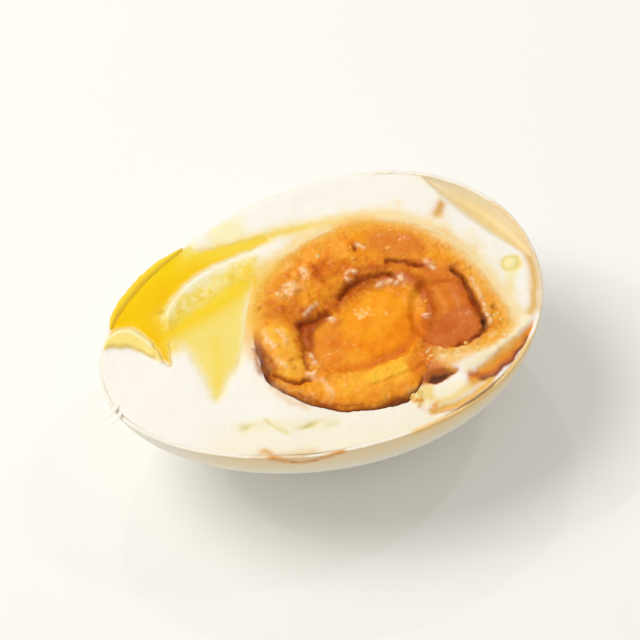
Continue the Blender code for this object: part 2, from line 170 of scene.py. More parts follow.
# Paint of the lobes and hollows at the front, laid alike on the white and on the yolk under them
LOBE_PAINT = (
    ("patch", "#F6C05A", 0.92, 0.9, (12.2, -10.5, 14.5, -10.8, 18, -11.7, 21.6, -11.5, 24, -10.8,
        25.6, -10.4, 25.4, -11.8, 20.5, -13.2, 17.6, -13.7, 14.2, -14)),
    ("patch", "#FCECC4", 0.9, 0.6, (16.4, -14.7, 18.8, -13.9, 21.6, -13.4, 24.6, -12.1, 27.6, -10.1,
        27.9, -10.9, 25, -12.8, 21.5, -14.3, 18, -15.4, 16.4, -15.1)),
    ("spot", "#FDEBBC", 0.85, (0.9, 0.5), (13.8, -11.5)),
    ("spot", "#FBE2A0", 0.8, (0.8, 0.4), (16.4, -12.3)),
    ("patch", "#EA8A1A", 0.95, 0.5, (9.4, -11.4, 11.8, -9.9, 13, -10.6, 13.2, -12.2, 14.2, -13.4,
        14.8, -14.3, 15, -15.3, 12.8, -16.2, 10.2, -16, 9.4, -14)),
    ("line", "#AC4E0A", 0.85, 0.4, (10, -15.4, 11, -14.4, 12.8, -14, 15.2, -15)),
    ("line", "#C86A08", 0.7, 0.7, (11.4, -12.6, 12.2, -13.6, 11.8, -14.6)),
    ("line", "#F0B048", 0.75, 0.45, (13.5, -12.7, 14.2, -13.9, 15, -15)),
    # Painted shade in the pocket between the lobes
    ("patch", "#5A220C", 0.95, 0.35, DARK_POCKET),
    ("patch", "#F4D67C", 0.9, 0.7, (7.8, -16, 9.6, -15.7, 11.2, -16.6, 11, -18.6, 8.6, -18.6)),
    ("line", "#E8AC40", 0.45, 0.5, (8.2, -16.4, 8, -17.4, 8.8, -18.4)),
    ("patch", "#FDF1D2", 0.9, 0.6, (11.4, -17, 15.2, -16.8, 16, -17.3, 14.6, -18.3, 11.2, -18.8)),
    ("line", "#FFDC80", 0.8, 0.6, (11, -19.2, 13.6, -19.1, 16, -18.3, 17.4, -17.3)),
    ("spot", "#FFDC94", 0.7, (0.7, 0.5), (16.9, -15.9)),
    ("patch", "#F09A1E", 1, 0.5, RIM_CRACK),
    ("line", "#F9BC4C", 0.8, 0.45, (18.6, -15.9, 21.5, -14.7, 25, -13.1)),
    ("line", "#CC6414", 0.85, 0.45, (17, -16.4, 19.2, -16.9, 21.6, -16.2, 24, -14.9)),
    ("line", "#7E2E0A", 0.95, 0.4, (18, -17.4, 20, -17.4, 22, -16.6, 24.2, -15.2, 26.6, -13.4)),
    ("spot", "#EDAE44", 0.85, (0.9, 0.6), (17, -17.9)),
    ("spot", "#D0700E", 0.6, (0.9, 0.7), (12.4, -10.3)),
    ("line", "#F0B83C", 0.95, 0.55, (9.8, -20, 12, -20.3, 14.5, -20.2, 17, -19.4, 19.4, -18.1)),
    ("line", "#CC8C2C", 0.6, 0.2, (10.2, -20.5, 13, -20.8, 16.4, -20.2, 19.4, -18.8)),
)

# Paint where the yolk fades into the white, laid alike on both
HALO_PAINT = (
    ("line", "#FCE2AA", 0.85, 0.8, (-1.6, 12.3, 2.7, 13.6, 6, 14)),
    ("line", "#FDE4B0", 0.85, 1, (13.8, 13.4, 18, 10.7, 21.6, 5.9, 23.1, 3.2, 24.4, 0.4, 25.4, -3.2,
        26.2, -6.6, 26.3, -9.4)),
    ("line", "#FACC5A", 0.65, 1.1, (-9.4, 2.6, -8.4, 5, -7.2, 7.4, -5.2, 9.6, -3.2, 11.2)),
    ("line", "#F0C478", 0.6, 0.8, (-11, -2.4, -10.8, 0, -10.4, 2.4)),
    # Dark line at the yolk's left edge: brown deepened by painted shade of the crevice
    ("line", "#B8702E", 0.8, 0.45, (-10.2, -1.6, -10.5, -3.6, -10.4, -5.4)),
    ("line", "#EBBE82", 0.5, 0.6, (-9.8, -8.2, -8.6, -10.6, -6.4, -13.2)),
    ("spot", "#F5C92C", 0.85, (0.9, 1.5), (-6.7, 9.9)),
)

# Paint on the shell's rim and the wall just below it
RIM_PAINT = (
    ("line", "#F2CC84", 0.8, 1, (29.4, 8.8, 30.8, 5.8, 31.7, 2.8)),
    ("line", "#F3C878", 0.85, 1, (7, -22.4, 14, -21.3, 19, -19.2, 23, -16.8, 26, -14.2)),
    ("line", "#DDB870", 0.6, 0.45, (31.9, 1.5, 32, -1, 31.6, -4, 30.6, -7.5, 29.4, -9.8)),
    ("line", "#F8D84C", 1, 1.2, (-27.8, 10.6, -25.3, 12.9, -22.5, 14.9, -19.4, 16.6, -15.6, 18.2)),
)

# Chips out of the shell's rim: (place, reach, depth)
RIM_CHIPS = (((-8.2, -21.4), 3.4, 0.3), ((18.0, -19.4), 4.6, 0.4), ((-31.0, -5.0), 2.0, 0.4),
             ((9.0, 22.0), 4.0, 0.3))

# Crack in the shell's front, and painted shade beside it, as (x, height)
CRACK_PAINT = (
    # Painted shade beside the crack, at its left
    ("patch", "#EFD2A8", 0.8, 0.5, (-16.5, 0.4, -13.4, -1.2, -9.8, -2.4, -8.6, -1, -10, 0.4)),
    ("line", "#E49C3C", 0.95, 0.5, (-13.6, 0.2, -11.8, -0.9, -9.6, -1.7, -6.8, -0.9, -4, 0)),
    ("line", "#C0701C", 0.8, 0.2, (-11.2, -1.3, -9.5, -1.9, -7.2, -1.2)),
)

# Stain of the oil, laid alike on the white and on the oil over it, so that its shores stay soft. Near its
# end it also holds a painted highlight and painted shadows at the flap's edges
OIL_PAINT = (
    ("patch", "#FFE47C", 0.97, 1.3, OIL_APRON),
    ("line", "#FDDC50", 0.5, 0.8, (-17.5, -6.4, -16.3, -3.4, -15.4, -0.6, -14.8, 2)),
    ("line", "#FFD516", 0.97, 1.9, (-21.8, 5.4, -18, 6.6, -14, 7.6, -10.6, 8.8, -7.8, 10.4, -6.9, 11.8)),
    ("patch", "#FBF1C4", 0.85, 0.7, (-21.4, 8, -19.6, 10.2, -16.2, 12, -12, 13.5, -7, 14.2, -6, 12.4,
        -9.4, 11.4, -14, 10.2, -18.4, 8.4)),
    ("patch", "#FFCC00", 1, 0.7, OIL_BAND),
    ("line", "#FBC200", 0.7, 0.8, (-22.4, 2.4, -22.5, 6, -21.6, 9.6, -18.8, 12.4)),
    ("line", "#FFD80C", 0.7, 1.2, (-24.6, 13.2, -20, 15.4, -15.4, 16.8)),
    ("line", "#FFDC4C", 0.9, 0.9, (-12, 15.9, -8, 15.8, -3.5, 15.7)),
    ("line", "#FFD62A", 0.8, 1.2, (-15.4, 15.6, -12.6, 16.2, -10.6, 16.1)),
    ("line", "#FFD020", 0.9, 0.8, (-22, 4, -21, 5.6, -19.6, 6.2)),
    ("line", "#FEF9EA", 0.9, 0.5, (-20.4, 8.1, -19.2, 9.3, -16.7, 11.2, -13.5, 12.8, -8.8, 13.8,
        -4.5, 14.1)),
    ("spot", "#FCCF20", 0.85, (1.2, 1.5), (-7.4, 10)),
    ("spot", "#FBD850", 0.85, (1.3, 1.3), (-20.8, 3.2)),
    ("spot", "#FCE878", 0.85, (1.4, 1.1), (-13.7, 17.7)),
    ("patch", "#FEE47E", 0.97, 0.35, FLAP_LOBE),
    # Painted highlight along the flap's upper edge
    ("line", "#FFF4C4", 0.8, 0.35, (-29.2, 7.8, -27.2, 8.3, -25.7, 7.7, -24.5, 6.2, -23.8, 4.4)),
    # Painted shadow along the flap's lower edge
    ("line", "#DDBF48", 0.8, 0.26, (-29.9, 6.4, -28, 6.1, -26.4, 5.3, -25.1, 4, -23.9, 2.4)),
    # Painted shadow where the flap meets the ridge
    ("spot", "#A87A2A", 0.9, (0.45, 0.3), (-20.7, 9.5)),
)

# Relief of the cut yolk: smooth hollows, then lumps and clefts of uneven height
YOLK_BOWLS = (
    ("bowl", -0.8, (9, 7.8), (5.3, -3.3)),
    ("bowl", -0.8, (5.1, 6.2), (17, -5.2)),
)
YOLK_RELIEF = (
    ("spot", 0.9, (2, 4.4), (-6.6, -3)),
    ("spot", 0.5, (2.6, 2.2), (-2.6, 4.8)),
    ("spot", 0.4, (2.6, 2), (0.4, 8)),
    ("spot", 0.5, (6, 2.2), (4.6, -12.6)),
    ("spot", 0.3, (2.4, 1.8), (7, 9)),
    ("line", 0.32, 0.7, (13.6, 2.8, 15.2, 0.9, 15.8, -1.8, 15.3, -4.2, 14.2, -6.4)),
    ("line", 0.3, 0.6, (-2.2, -9.2, 0.6, -10.2, 4.5, -10.4, 8.6, -10.3, 11.6, -9)),
    ("line", -0.6, 0.45, (-3.2, -3.4, -3.1, -0.8, -1.8, 0.5, 0.9, 0.9, 1.8, 1.1)),
    ("line", -0.6, 0.45, (4, 2.8, 5.1, 3.5, 7.7, 4.3, 10.2, 4.1, 12, 3.4)),
    ("line", -0.5, 0.32, (12.2, 5.7, 13.6, 5.2, 15, 4.3, 16.7, 3.1)),
    ("line", -0.65, 0.4, (20.6, 1.2, 21.3, -1, 21.6, -5, 21.8, -8.9, 20.4, -10.3, 16.8, -11)),
    ("line", -0.5, 0.3, (-9.2, -6.2, -7.8, -7.8, -6.4, -8.8, -4.6, -8.9)),
    ("line", -0.4, 0.4, (-3.6, -2.6, -3.9, -4.8, -3.9, -7.2)),
    ("spot", -0.5, (0.4, 0.5), (8.8, 9.3)),
    ("spot", -0.5, (0.5, 0.5), (24, -7)),
    ("spot", -0.3, (0.4, 0.4), (-7.2, 4.8)),
    ("line", -0.25, 0.35, (3.6, -12.9, 7.4, -13.1, 11.4, -12.4)),
)

# Small wet bumps on the yolk that catch the light, each also painted pale as a painted highlight: (height,
# size, points)
YOLK_GLINTS = (
    (0.35, 0.3, (6.2, 4.6, 5.9, 5.4, 6.6, 6.1, 7.4, 5.6)),
    (0.3, 0.4, (-1.4, 6.9, -2.6, 7.1, -3.2, 6.1, -2.4, 5.3)),
    (0.35, 0.3, (-1.7, 1.6, -0.6, 2.2, 0.5, 2.9)),
    (0.35, 0.35, (9.9, 2.8, 11.2, 2.4, 12.2, 1.8)),
    (0.35, 0.42, (-7.9, 1, -8, -0.7, -7.5, -2.4)),
    (0.35, 0.35, (-7.6, -4.6, -7, -5.9)),
    (0.25, 0.4, (-6, 0.2, -5.7, -1.2, -5.8, -2.4)),
    (0.35, 0.4, (-3, -4.8, -2.8, -6.5)),
    (0.3, 0.35, (-4.4, -7.7, -3.6, -8.2)),
    (0.35, 0.4, (1.6, 0.1, 1.9, -0.2)),
    (0.35, 0.5, (12.9, 2.6, 13.1, 1.9)),
    (0.35, 0.45, (17.7, 3.6, 17.9, 2.4)),
    (0.35, 0.4, (14.3, -4.3, 14.8, -4.7)),
    (0.3, 0.5, (0.5, 8.7, 0.6, 7.6)),
    (0.3, 0.35, (22.4, -1.2, 22.6, -4, 22.6, -9.2)),
    (0.25, 0.4, (9.2, 9.9, 9.9, 9.2)),
)

# Outlines of what the knife left smooth, and paint on the yolk and its core: its own colours, with painted
# shade in the clefts and painted highlights on wet lumps
YOLK_SMOOTH = (
    (-8.6, 0.5, -5.6, 2, -4.6, -3, -5.4, -8, -8.4, -6.5),
    (-2.5, -9.6, 3, -9.6, 9, -10, 12, -12.4, 10.5, -14.8, 4, -16.2, -2, -14),
    (15.6, 1.6, 20.6, 1.4, 21.2, -4, 21.2, -9.4, 17, -10.8, 12.9, -9, 15.6, -4.4),
    (9.4, 10.6, 11, 6.8, 16.4, 5.6, 17.4, 8.2, 13.2, 11.4),
    (-2.6, -2.8, 1, -0.6, 13, 2.6, 15, -2, 12, -8, 4, -9.4, -1.6, -8.8),
)
YOLK_PAINT = (
    ("patch", "#EE9C18", 0.8, 1.2, (-8, 3.5, -7, 7, -4.5, 9.5, -1.5, 9.5, 0.5, 7, -1, 4.5, -4, 3.8)),
    ("patch", "#F9A634", 0.8, 1.2, (-1, 9.5, 2, 11.6, 6, 11.8, 8.2, 10.2, 7.5, 8.6, 3, 9, 0, 8)),
    ("patch", "#F8A00E", 0.85, 0.9, (7.6, 12.6, 10.5, 13, 12.5, 12, 11.5, 9.6, 9.5, 8, 8, 9.5)),
    ("patch", "#E2852A", 0.85, 0.9, (10.8, 10.8, 13, 11.4, 16.5, 9.6, 18.4, 7.2, 17.5, 5, 14.5, 5.8,
        12, 7, 10.5, 8.6)),
    ("patch", "#E07C12", 0.85, 0.9, (1.6, 8.8, 2, 6.4, 4.6, 5.6, 7.8, 6.4, 5.4, 8.4, 3.4, 8.8)),
    ("line", "#C4600A", 0.7, 0.5, (2.1, 8.4, 2.3, 7.2, 2.7, 6)),
    ("patch", "#D2700E", 0.75, 0.8, (-7.4, 3.4, -4.4, 4.4, -1.6, 3.4, -1.2, 1.6, -3.6, 1, -5.2, 1.8)),
    ("patch", "#FFBC3C", 0.95, 0.6, (-8.7, 0.4, -6.8, 1.3, -5, 0.4, -4.5, -2.4, -4.7, -6.4, -5.6, -8.2,
        -7.8, -6.8, -9, -3.4)),
    ("patch", "#EE9226", 0.9, 1, (-2.8, -3.4, -0.6, -1.6, 1.4, -0.8, 2.6, -2.4, 2.2, -5, 1, -7.8,
        -1.6, -9, -3, -6.4)),
    ("patch", "#FA9E0C", 0.97, 1.1, (2.8, -1, 4.2, 1.2, 7, 2.2, 10, 2, 12.2, 0.4, 12.9, -2.4, 12.2, -5.8,
        10, -8.2, 6.5, -8.8, 3.6, -7.6, 2.2, -4.5)),
    ("spot", "#FFB628", 0.5, (2.6, 2.2), (7.6, -1)),
    ("line", "#C8640E", 0.85, 0.9, (3.4, 1.8, 6, 3.2, 9.2, 3.5, 12, 2.4)),
    ("line", "#CC6206", 0.92, 1.2, (13.2, 2.6, 15.2, 1, 16.1, -1.4, 15.9, -3.8, 14.6, -5.8, 13.2, -7.4)),
    ("line", "#E07A06", 0.85, 1, (0.6, -8.6, 4, -9.2, 8, -9, 11, -8, 12.6, -6.2)),
    ("patch", "#FFB434", 0.95, 0.8, (-2.6, -10, 2, -9.9, 8, -10.2, 11.6, -12, 10.4, -14.4, 6, -15.9,
        1, -15.3, -2.4, -13.6, -4, -12)),
    ("line", "#F39C1E", 0.6, 0.7, (-1, -13.8, 3, -14.9, 8, -14.8, 10.6, -13.6)),
    ("patch", "#FDC136", 0.92, 0.4, (2.4, -11.5, 4.4, -10.5, 8, -10.4, 11.4, -12, 8.4, -13, 4.4, -12.6)),
    ("line", "#DC7C10", 0.85, 0.8, (12.8, -8.4, 12.4, -10.8, 11.6, -13)),
    # The yolk's red-brown in the hollow left of the core, deepened by painted shade
    ("patch", "#AC4A0C", 0.9, 0.6, (-3.4, 0.8, -1.4, 1.1, 0.6, 1, 1.8, 0.4, 0.4, -0.6, -1, -1.2, -1.8, -3,
        -3, -4.2, -3.4, -1.6)),
    ("patch", "#E27E1E", 0.95, 0.7, (16.2, 2, 19.5, 2.2, 21, 0.4, 21.4, -4, 21.6, -8.5, 20.5, -10.2,
        17, -10.8, 13.5, -10, 12.6, -8, 14.5, -6.3, 16.3, -4.2, 16.8, -1.5)),
    ("patch", "#D2722E", 0.85, 0.9, (13.4, -7.8, 16, -5.4, 20.4, -4.6, 20.8, -10, 16.6, -10.8,
        13.2, -9.8)),
    ("patch", "#EE9234", 0.6, 0.8, (16.4, 2.6, 19, 2.4, 20.3, 0.6, 20.6, -1.8, 18.4, -1.6, 17.4, 0.2)),
    ("line", "#C05806", 0.6, 0.7, (14.4, 1.8, 15.3, 0.2, 15.5, -1.8, 15.2, -3.8, 14.2, -5.8)),
    ("line", "#EE962C", 0.5, 0.35, (16.9, 1.4, 17.5, 0, 17.7, -1.6, 17.2, -3.4)),
    ("patch", "#F3AE34", 0.85, 0.7, (22, 2.2, 23.4, -2.5, 24.6, -6.5, 24.4, -10.6, 22.6, -11, 22.4, -6,
        21.9, -1.5)),
    # Soft red-brown round the clefts: the yolk's own colour deepened by painted shade
    ("line", "#C4661A", 0.5, 1.1, (-3.3, -4, -3.1, -0.8, -1.6, 1, 1.2, 1.4, 4, 3.2, 7.6, 4.8, 11.4, 4.2)),
    ("line", "#C4661A", 0.6, 0.9, (12.4, 5.4, 15, 4.2, 17, 2.8)),
    ("line", "#B85A18", 0.6, 0.9, (20.4, 1.2, 21, -1, 21.3, -5, 21.4, -8.8, 20, -10.2)),
    ("line", "#C66014", 0.7, 0.6, (7.2, 5.6, 9.4, 5.7, 11.4, 5)),
    ("spot", "#D06C1C", 0.65, (1, 0.6), (2.4, -0.9)),
    # Dark lines in the clefts: the yolk's red-brown, darkened by painted shade
    ("line", "#963C08", 0.88, 0.5, (-2.4, 0.2, 0.2, 0.8, 1.5, 1)),
    ("line", "#963C08", 0.9, 0.55, (4.2, 2.9, 5.4, 3.8, 7.2, 4.3, 9, 4.2, 10.8, 3.9, 12.2, 3.3)),
    ("line", "#A04410", 0.85, 0.35, (12.2, 5.7, 13.6, 5.2, 15, 4.3, 16.7, 3.1)),
    ("line", "#8A3A0C", 0.9, 0.4, (20.6, 1.2, 21.3, -1, 21.6, -4, 21.9, -8.8, 20.4, -10.3, 18.4, -10.9,
        16.6, -11)),
    ("spot", "#3A1006", 0.9, (0.5, 1.1), (21.7, -8.8)),
    ("line", "#F2A648", 0.85, 0.5, (-8.4, -7.6, -6.8, -9.9, -4.8, -11.8, -2.6, -13.2)),
    # Dark line of the crevice at the lower left: red-brown darkened by painted shade
    ("line", "#B05A14", 0.75, 0.35, (-6.6, -10.8, -4.4, -12.9, -2, -14.4, 1, -15.3)),
    # Painted highlights on wet lumps; the dark spot among them is painted shade beside the largest
    # highlight
    ("spot", "#FAD8A4", 0.8, (1.7, 0.8), (-2.2, 6)),
    ("spot", "#FAD898", 0.6, (1, 0.7), (-1.6, 10)),
    ("spot", "#C98420", 0.7, (0.5, 0.5), (-1.5, 5.4)),
    ("line", "#FBD09A", 0.7, 0.35, (-4.4, -8.4, -3, -9.6, -2.4, -11.4)),
    ("spot", "#FCD8A4", 0.7, (0.4, 0.9), (-2.4, -12.2)),
    ("line", "#F0A04C", 0.5, 0.35, (17, -0.6, 17.6, -2.6, 17.2, -5)),
    ("line", "#E0925A", 0.5, 0.3, (19.2, -1, 19.6, -3.6, 19.2, -6)),
    # Painted highlight on a lump at the bottom
    ("line", "#F5AE5C", 0.6, 0.35, (7.6, -14.6, 8.2, -15.6)),
    # Clefts beside the left lump: red-brown darkened by painted shade
    ("line", "#984008", 0.85, 0.35, (-9.2, -6.2, -7.8, -7.8, -6.4, -8.8, -4.6, -8.9)),
    ("line", "#B05A16", 0.75, 0.42, (-3.6, -2.6, -3.9, -4.8, -3.9, -7)),
    ("line", "#C26A20", 0.85, 0.6, (-9.2, 1.2, -9.1, -1, -8.8, -3.4, -8.4, -5.4)),
    ("spot", "#98460A", 0.9, (0.45, 0.6), (8.8, 9.3)),
    ("spot", "#9C5208", 0.85, (0.5, 0.45), (24, -7)),
    ("spot", "#B8661A", 0.7, (0.4, 0.9), (22.6, -3.2)),
    ("spot", "#A8651C", 0.6, (0.4, 0.5), (-7.2, 4.8)),
)


def ease(low, high, value):
    """0 at low, 1 at high, and a smooth step between them."""
    share = np.clip((value - low) / (high - low), 0, 1)
    return share * share * (3 - 2 * share)


def fade(away, reach):
    """1 at no distance, falling smoothly to nearly 0 at twice the reach."""
    return np.exp(-(away / reach) ** 2)


def smooth_course(points, closed=False, steps=5):
    """More points on the smooth Catmull-Rom curve through a few."""
    points = [np.array(p, float) for p in points]
    if len(points) < 3:
        return points
    ring = [points[-1], *points, points[0], points[1]] if closed else [points[0], *points, points[-1]]
    course = []
    for before, start, end, after in zip(ring, ring[1:], ring[2:], ring[3:]):
        for step in range(steps):
            t = step / steps
            course.append(0.5 * (2 * start + (end - before) * t
                                 + (2 * before - 5 * start + 4 * end - after) * t ** 2
                                 + (3 * start - before - 3 * end + after) * t ** 3))
    course.append(ring[-2] if not closed else points[0])
    return course


def nearest(x, y, course):
    """Distance from a course, the side of it (1 is left), and the share along it."""
    away, side, along = np.full(x.shape, FAR), np.ones(x.shape), np.zeros(x.shape)
    spans = len(course) - 1
    for index, (start, end) in enumerate(zip(course, course[1:])):
        run, climb = end[0] - start[0], end[1] - start[1]
        reach = max(run ** 2 + climb ** 2, 1e-9)
        share = np.clip(((x - start[0]) * run + (y - start[1]) * climb) / reach, 0, 1)
        off_x, off_y = x - start[0] - share * run, y - start[1] - share * climb
        here = np.hypot(off_x, off_y)
        closer = here < away
        away = np.where(closer, here, away)
        side = np.where(closer, np.sign(run * off_y - climb * off_x), side)
        along = np.where(closer, (index + share) / spans, along)
    return away, side, along


def within(x, y, outline, soft):
    """1 inside a closed outline and 0 outside, blended over a soft edge."""
    inside = np.zeros(x.shape, bool)
    for (x0, y0), (x1, y1) in zip(outline, outline[1:]):
        crosses = (y0 > y) != (y1 > y)
        inside ^= crosses & (x < (x1 - x0) * (y - y0) / (y1 - y0 + 1e-9) + x0)
    away = nearest(x, y, outline)[0]
    return ease(-soft, soft, np.where(inside, away, -away))


def bumps(x, y, span, seed):
    """Smooth noise from about -1 to 1, with bumps one span apart."""
    return np.array([noise.noise((u, v, seed)) for u, v in zip(x / span, y / span)])


def bumpy(x, y, *layers, base=0):
    """A base with layers of bumps over it, each as (height, span, seed)."""
    return sum((height * bumps(x, y, span, seed) for height, span, seed in layers), base)


def beads(x, y, span, seed, share):
    """Round drops scattered about one span apart: 1 on a drop's top, 0 between them."""
    found = [noise.voronoi((u, v, seed)) for u, v in zip(x / span, y / span)]
    away = np.array([near[0] for near, _ in found])
    lot = np.array([math.sin(37.3 * places[0][0] + 91.7 * places[0][1]) for _, places in found])
    size = 0.2 + 0.14 * np.abs(lot)
    return np.sqrt(np.clip(1 - (away / size) ** 2, 0, 1)) * (np.abs(lot) < share)


def mark(x, y, kind, size, points):
    """How much a mark covers each place, worked out only for the places near it."""
    points = np.reshape(points, (-1, 2))
    reach = 3 * np.max(size) + 1
    low, high = points.min(axis=0) - reach, points.max(axis=0) + reach
    near = (x > low[0]) & (x < high[0]) & (y > low[1]) & (y < high[1])
    cover = np.zeros(x.shape)
    cover[near] = near_mark(x[near], y[near], kind, size, points)
    return cover


def near_mark(x, y, kind, size, points):
    """How much a line, patch, spot, ring or bowl covers each place."""
    if kind == "line":
        return fade(nearest(x, y, smooth_course(points))[0], size)
    if kind == "patch":
        return within(x, y, smooth_course(points, closed=True), size)
    off_x, off_y = x - points[0][0], y - points[0][1]
    if kind == "ring":
        return fade(np.hypot(off_x, off_y) - size[0], size[1])
    out = np.hypot(off_x / size[0], off_y / size[1])
    return ease(1.06, 0.82, out) if kind == "bowl" else fade(out, 1)


def wobbled(x, y, amount, span, seed):
    """The same places moved a little about, so that a mark's edge is uneven."""
    return x + amount * bumps(x, y, span, seed), y + amount * bumps(x, y, span, seed + 5.5)


def linear(colour):
    """An sRGB hex colour as linear red, green and blue."""
    parts = [int(colour[i:i + 2], 16) / 255 for i in (1, 3, 5)]
    return [p / 12.92 if p <= 0.04045 else ((p + 0.055) / 1.055) ** 2.4 for p in parts]


def blended(colours, *layers):
    """The colours with (colour, cover) layers over them in turn."""
    for colour, cover in layers:
        colours = colours + cover[:, None] * (np.array(linear(colour)) - colours)
    return colours


def laid(colours, marks, x, y):
    """The colours with marks laid over them in turn."""
    for kind, colour, strength, size, points in marks:
        colours = blended(colours, (colour, strength * mark(x, y, kind, size, points)))
    return colours


def painted(base, x, y, marks=()):
    """Colour of each place: the base with marks laid over it in turn."""
    return laid(np.tile(linear(base), (x.size, 1)), marks, x, y)


def relief(marks, x, y):
    """Height that marks add at each place."""
    return sum(height * mark(x, y, kind, size, points) for kind, height, size, points in marks)


def around(reach, angle, centre=YOLK_CENTRE):
    """Places at a reach and an angle from a centre."""
    return centre[0] + reach * np.cos(angle), centre[1] + reach * np.sin(angle)


def bearing(x, y):
    """Angle of each place about the yolk's middle, in degrees from 0 to 360."""
    return np.degrees(np.arctan2(y - YOLK_CENTRE[1], x - YOLK_CENTRE[0])) % 360


def egg_reach(angle, inset, dip=0, centre=YOLK_CENTRE):
    """Distance from a place in the cut to the egg's surface, found by halving."""
    run_x, run_y, run_z = np.cos(angle) * np.cos(dip), np.sin(angle) * np.cos(dip), -np.sin(dip)
    length, breadth = EGG_LENGTH - 2 * inset, EGG_BREADTH - 2 * inset
    low, high = np.zeros(angle.shape), np.full(angle.shape, EGG_LENGTH)
    for _ in range(HALVINGS):
        middle = (low + high) / 2
        x = centre[0] + middle * run_x
        y = centre[1] + middle * run_y
        z = middle * run_z - AXIS_OVER_CUT
        slant = length ** 2 - 8 * BLUNT_SHIFT * x + 4 * BLUNT_SHIFT ** 2
        inside = y ** 2 + z ** 2 < (breadth / 2) ** 2 * (length ** 2 - 4 * x ** 2) / slant
        low, high = np.where(inside, middle, low), np.where(inside, high, middle)
    return low


def dish_reach(angle, dip):
    """Distance from the yolk's middle to the dish that the air cell leaves in the white."""
    reach = AIR_CELL_DISH - AIR_CELL_HOLLOW
    off_x = YOLK_CENTRE[0] - AIR_CELL_CHORD[0] - reach * math.cos(AIR_CELL_TURN)
    off_y = YOLK_CENTRE[1] - AIR_CELL_CHORD[1] - reach * math.sin(AIR_CELL_TURN)
    along = np.cos(dip) * (np.cos(angle) * off_x + np.sin(angle) * off_y)
    beyond = along ** 2 - (off_x ** 2 + off_y ** 2 - AIR_CELL_DISH ** 2)
    found = -along - np.sqrt(np.maximum(beyond, 0))
    return np.where((beyond > 0) & (found > 0), found, FAR)


def white_reach(angle, inset, dip=0):
    """Distance from the yolk's middle to the outside of the white."""
    return np.minimum(egg_reach(angle, inset, dip), dish_reach(angle, dip))


def yolk_reach(angle, rise=0):
    """Radius of the yolk's outline at an angle, its corners fading below the cut."""
    reach = 1 / np.hypot(np.cos(angle) / YOLK_HALF_SIZE[0], np.sin(angle) / YOLK_HALF_SIZE[1])
    for middle, corner, spread in YOLK_CORNERS:
        off = (np.degrees(angle) - middle + 180) % 360 - 180
        reach = reach + corner * ease(-YOLK_CORNER_DEPTH, 0, rise) * fade(off, spread)
    x, y = around(YOLK_ROUGH_REACH, angle, (0, 0))
    return reach + bumpy(x, y, (0.3, 2.7, 8.8), (0.16, 0.9, 2.9)) * ease(-2, 0, rise)


def oil_cover(x, y):
    """Cover of the deep pool behind the flap, and of the shallow one before it."""
    band = mark(x, y, "patch", 0.8, OIL_BAND) * (1 - mark(x, y, "patch", 0.4, FLAP_LOBE))
    return band, mark(x, y, "patch", 1.3, OIL_APRON) * (1 - band)


def face_rise(x, y):
    """Broad unevenness of the knife's cut, shared by the white and the yolk."""
    return bumpy(x, y, (0.26, 9, 3.7), (0.05, 2.6, 1.3))


def curds(x, y):
    """How much each place lies in the curdled strip in front of the flap's edge."""
    return mark(x, y, "line", 1.7, (-19.8, 8, -15.5, 9.5, -10.5, 10.8, -6.6, 12.2))


def margins(x, y):
    """How much the yolk blends into the white at each place's bearing, and how much it is torn off."""
    degrees = bearing(x, y)
    apart = ease(168, 180, degrees)
    return 1 - apart * ease(318, 306, degrees), apart * ease(288, 278, degrees)


def torn_edge_and_shade(x, y, to_edge):
    """How much each place of the yolk lies in the torn edge at the lower left, which is painted dark: the
    edge's oil-stained brown, deepened by painted shade of the crevice.
    """
    degrees = bearing(x, y)
    wide = 0.5 + 0.8 * fade(degrees - 190, 14) + 1.1 * fade(degrees - 261, 11)
    wide *= bumpy(x, y, (0.5, 1.7, 4.8), (0.3, 0.6, 3.8), base=1)
    return fade(to_edge, wide) * margins(x, y)[1]


def white_places(x, y):
    """Places moved a little about, where the marks of the white and the oil are read."""
    return wobbled(*wobbled(x, y, 0.28, 1.5, 4.4), 0.1, 0.6, 1.4)


def yolk_places(x, y):
    """Places moved a little about, where the marks of the yolk and its core are read."""
    return wobbled(*wobbled(x, y, 0.4, 1.5, 6.4), 0.2, 0.55, 2.4)


def glint_cover(x, y):
    """How much the small wet bumps, which are also painted as highlights, cover each place, and the height
    that they add.
    """
    x, y = wobbled(x, y, 0.3, 1.6, 6.4)
    covers = [(height, mark(x, y, "line", size, points)) for height, size, points in YOLK_GLINTS]
    height = sum(0.35 * height * cover for height, cover in covers)
    return np.clip(sum(cover for _, cover in covers), 0, 1), height


def crumbling(x, y):
    """How much each place lies in the crumbly strips where the lobes meet the yolk."""
    x, y = white_places(x, y)
    upper = mark(x, y, "line", 1, (12.6, -11.4, 15, -11.6, 19, -12.3, 23.5, -11.8))
    return np.maximum(upper, mark(x, y, "line", 0.9, (8.2, -16.8, 8.8, -18.2, 10.4, -19.4)))


def crumb_rise(x, y):
    """Height of the crumbs in those strips, on the white and on the yolk alike."""
    return crumbling(x, y) * (0.16 * bumps(x, y, 1, 3.9) + 0.12 * beads(x, y, 0.9, 5.7, 0.7))


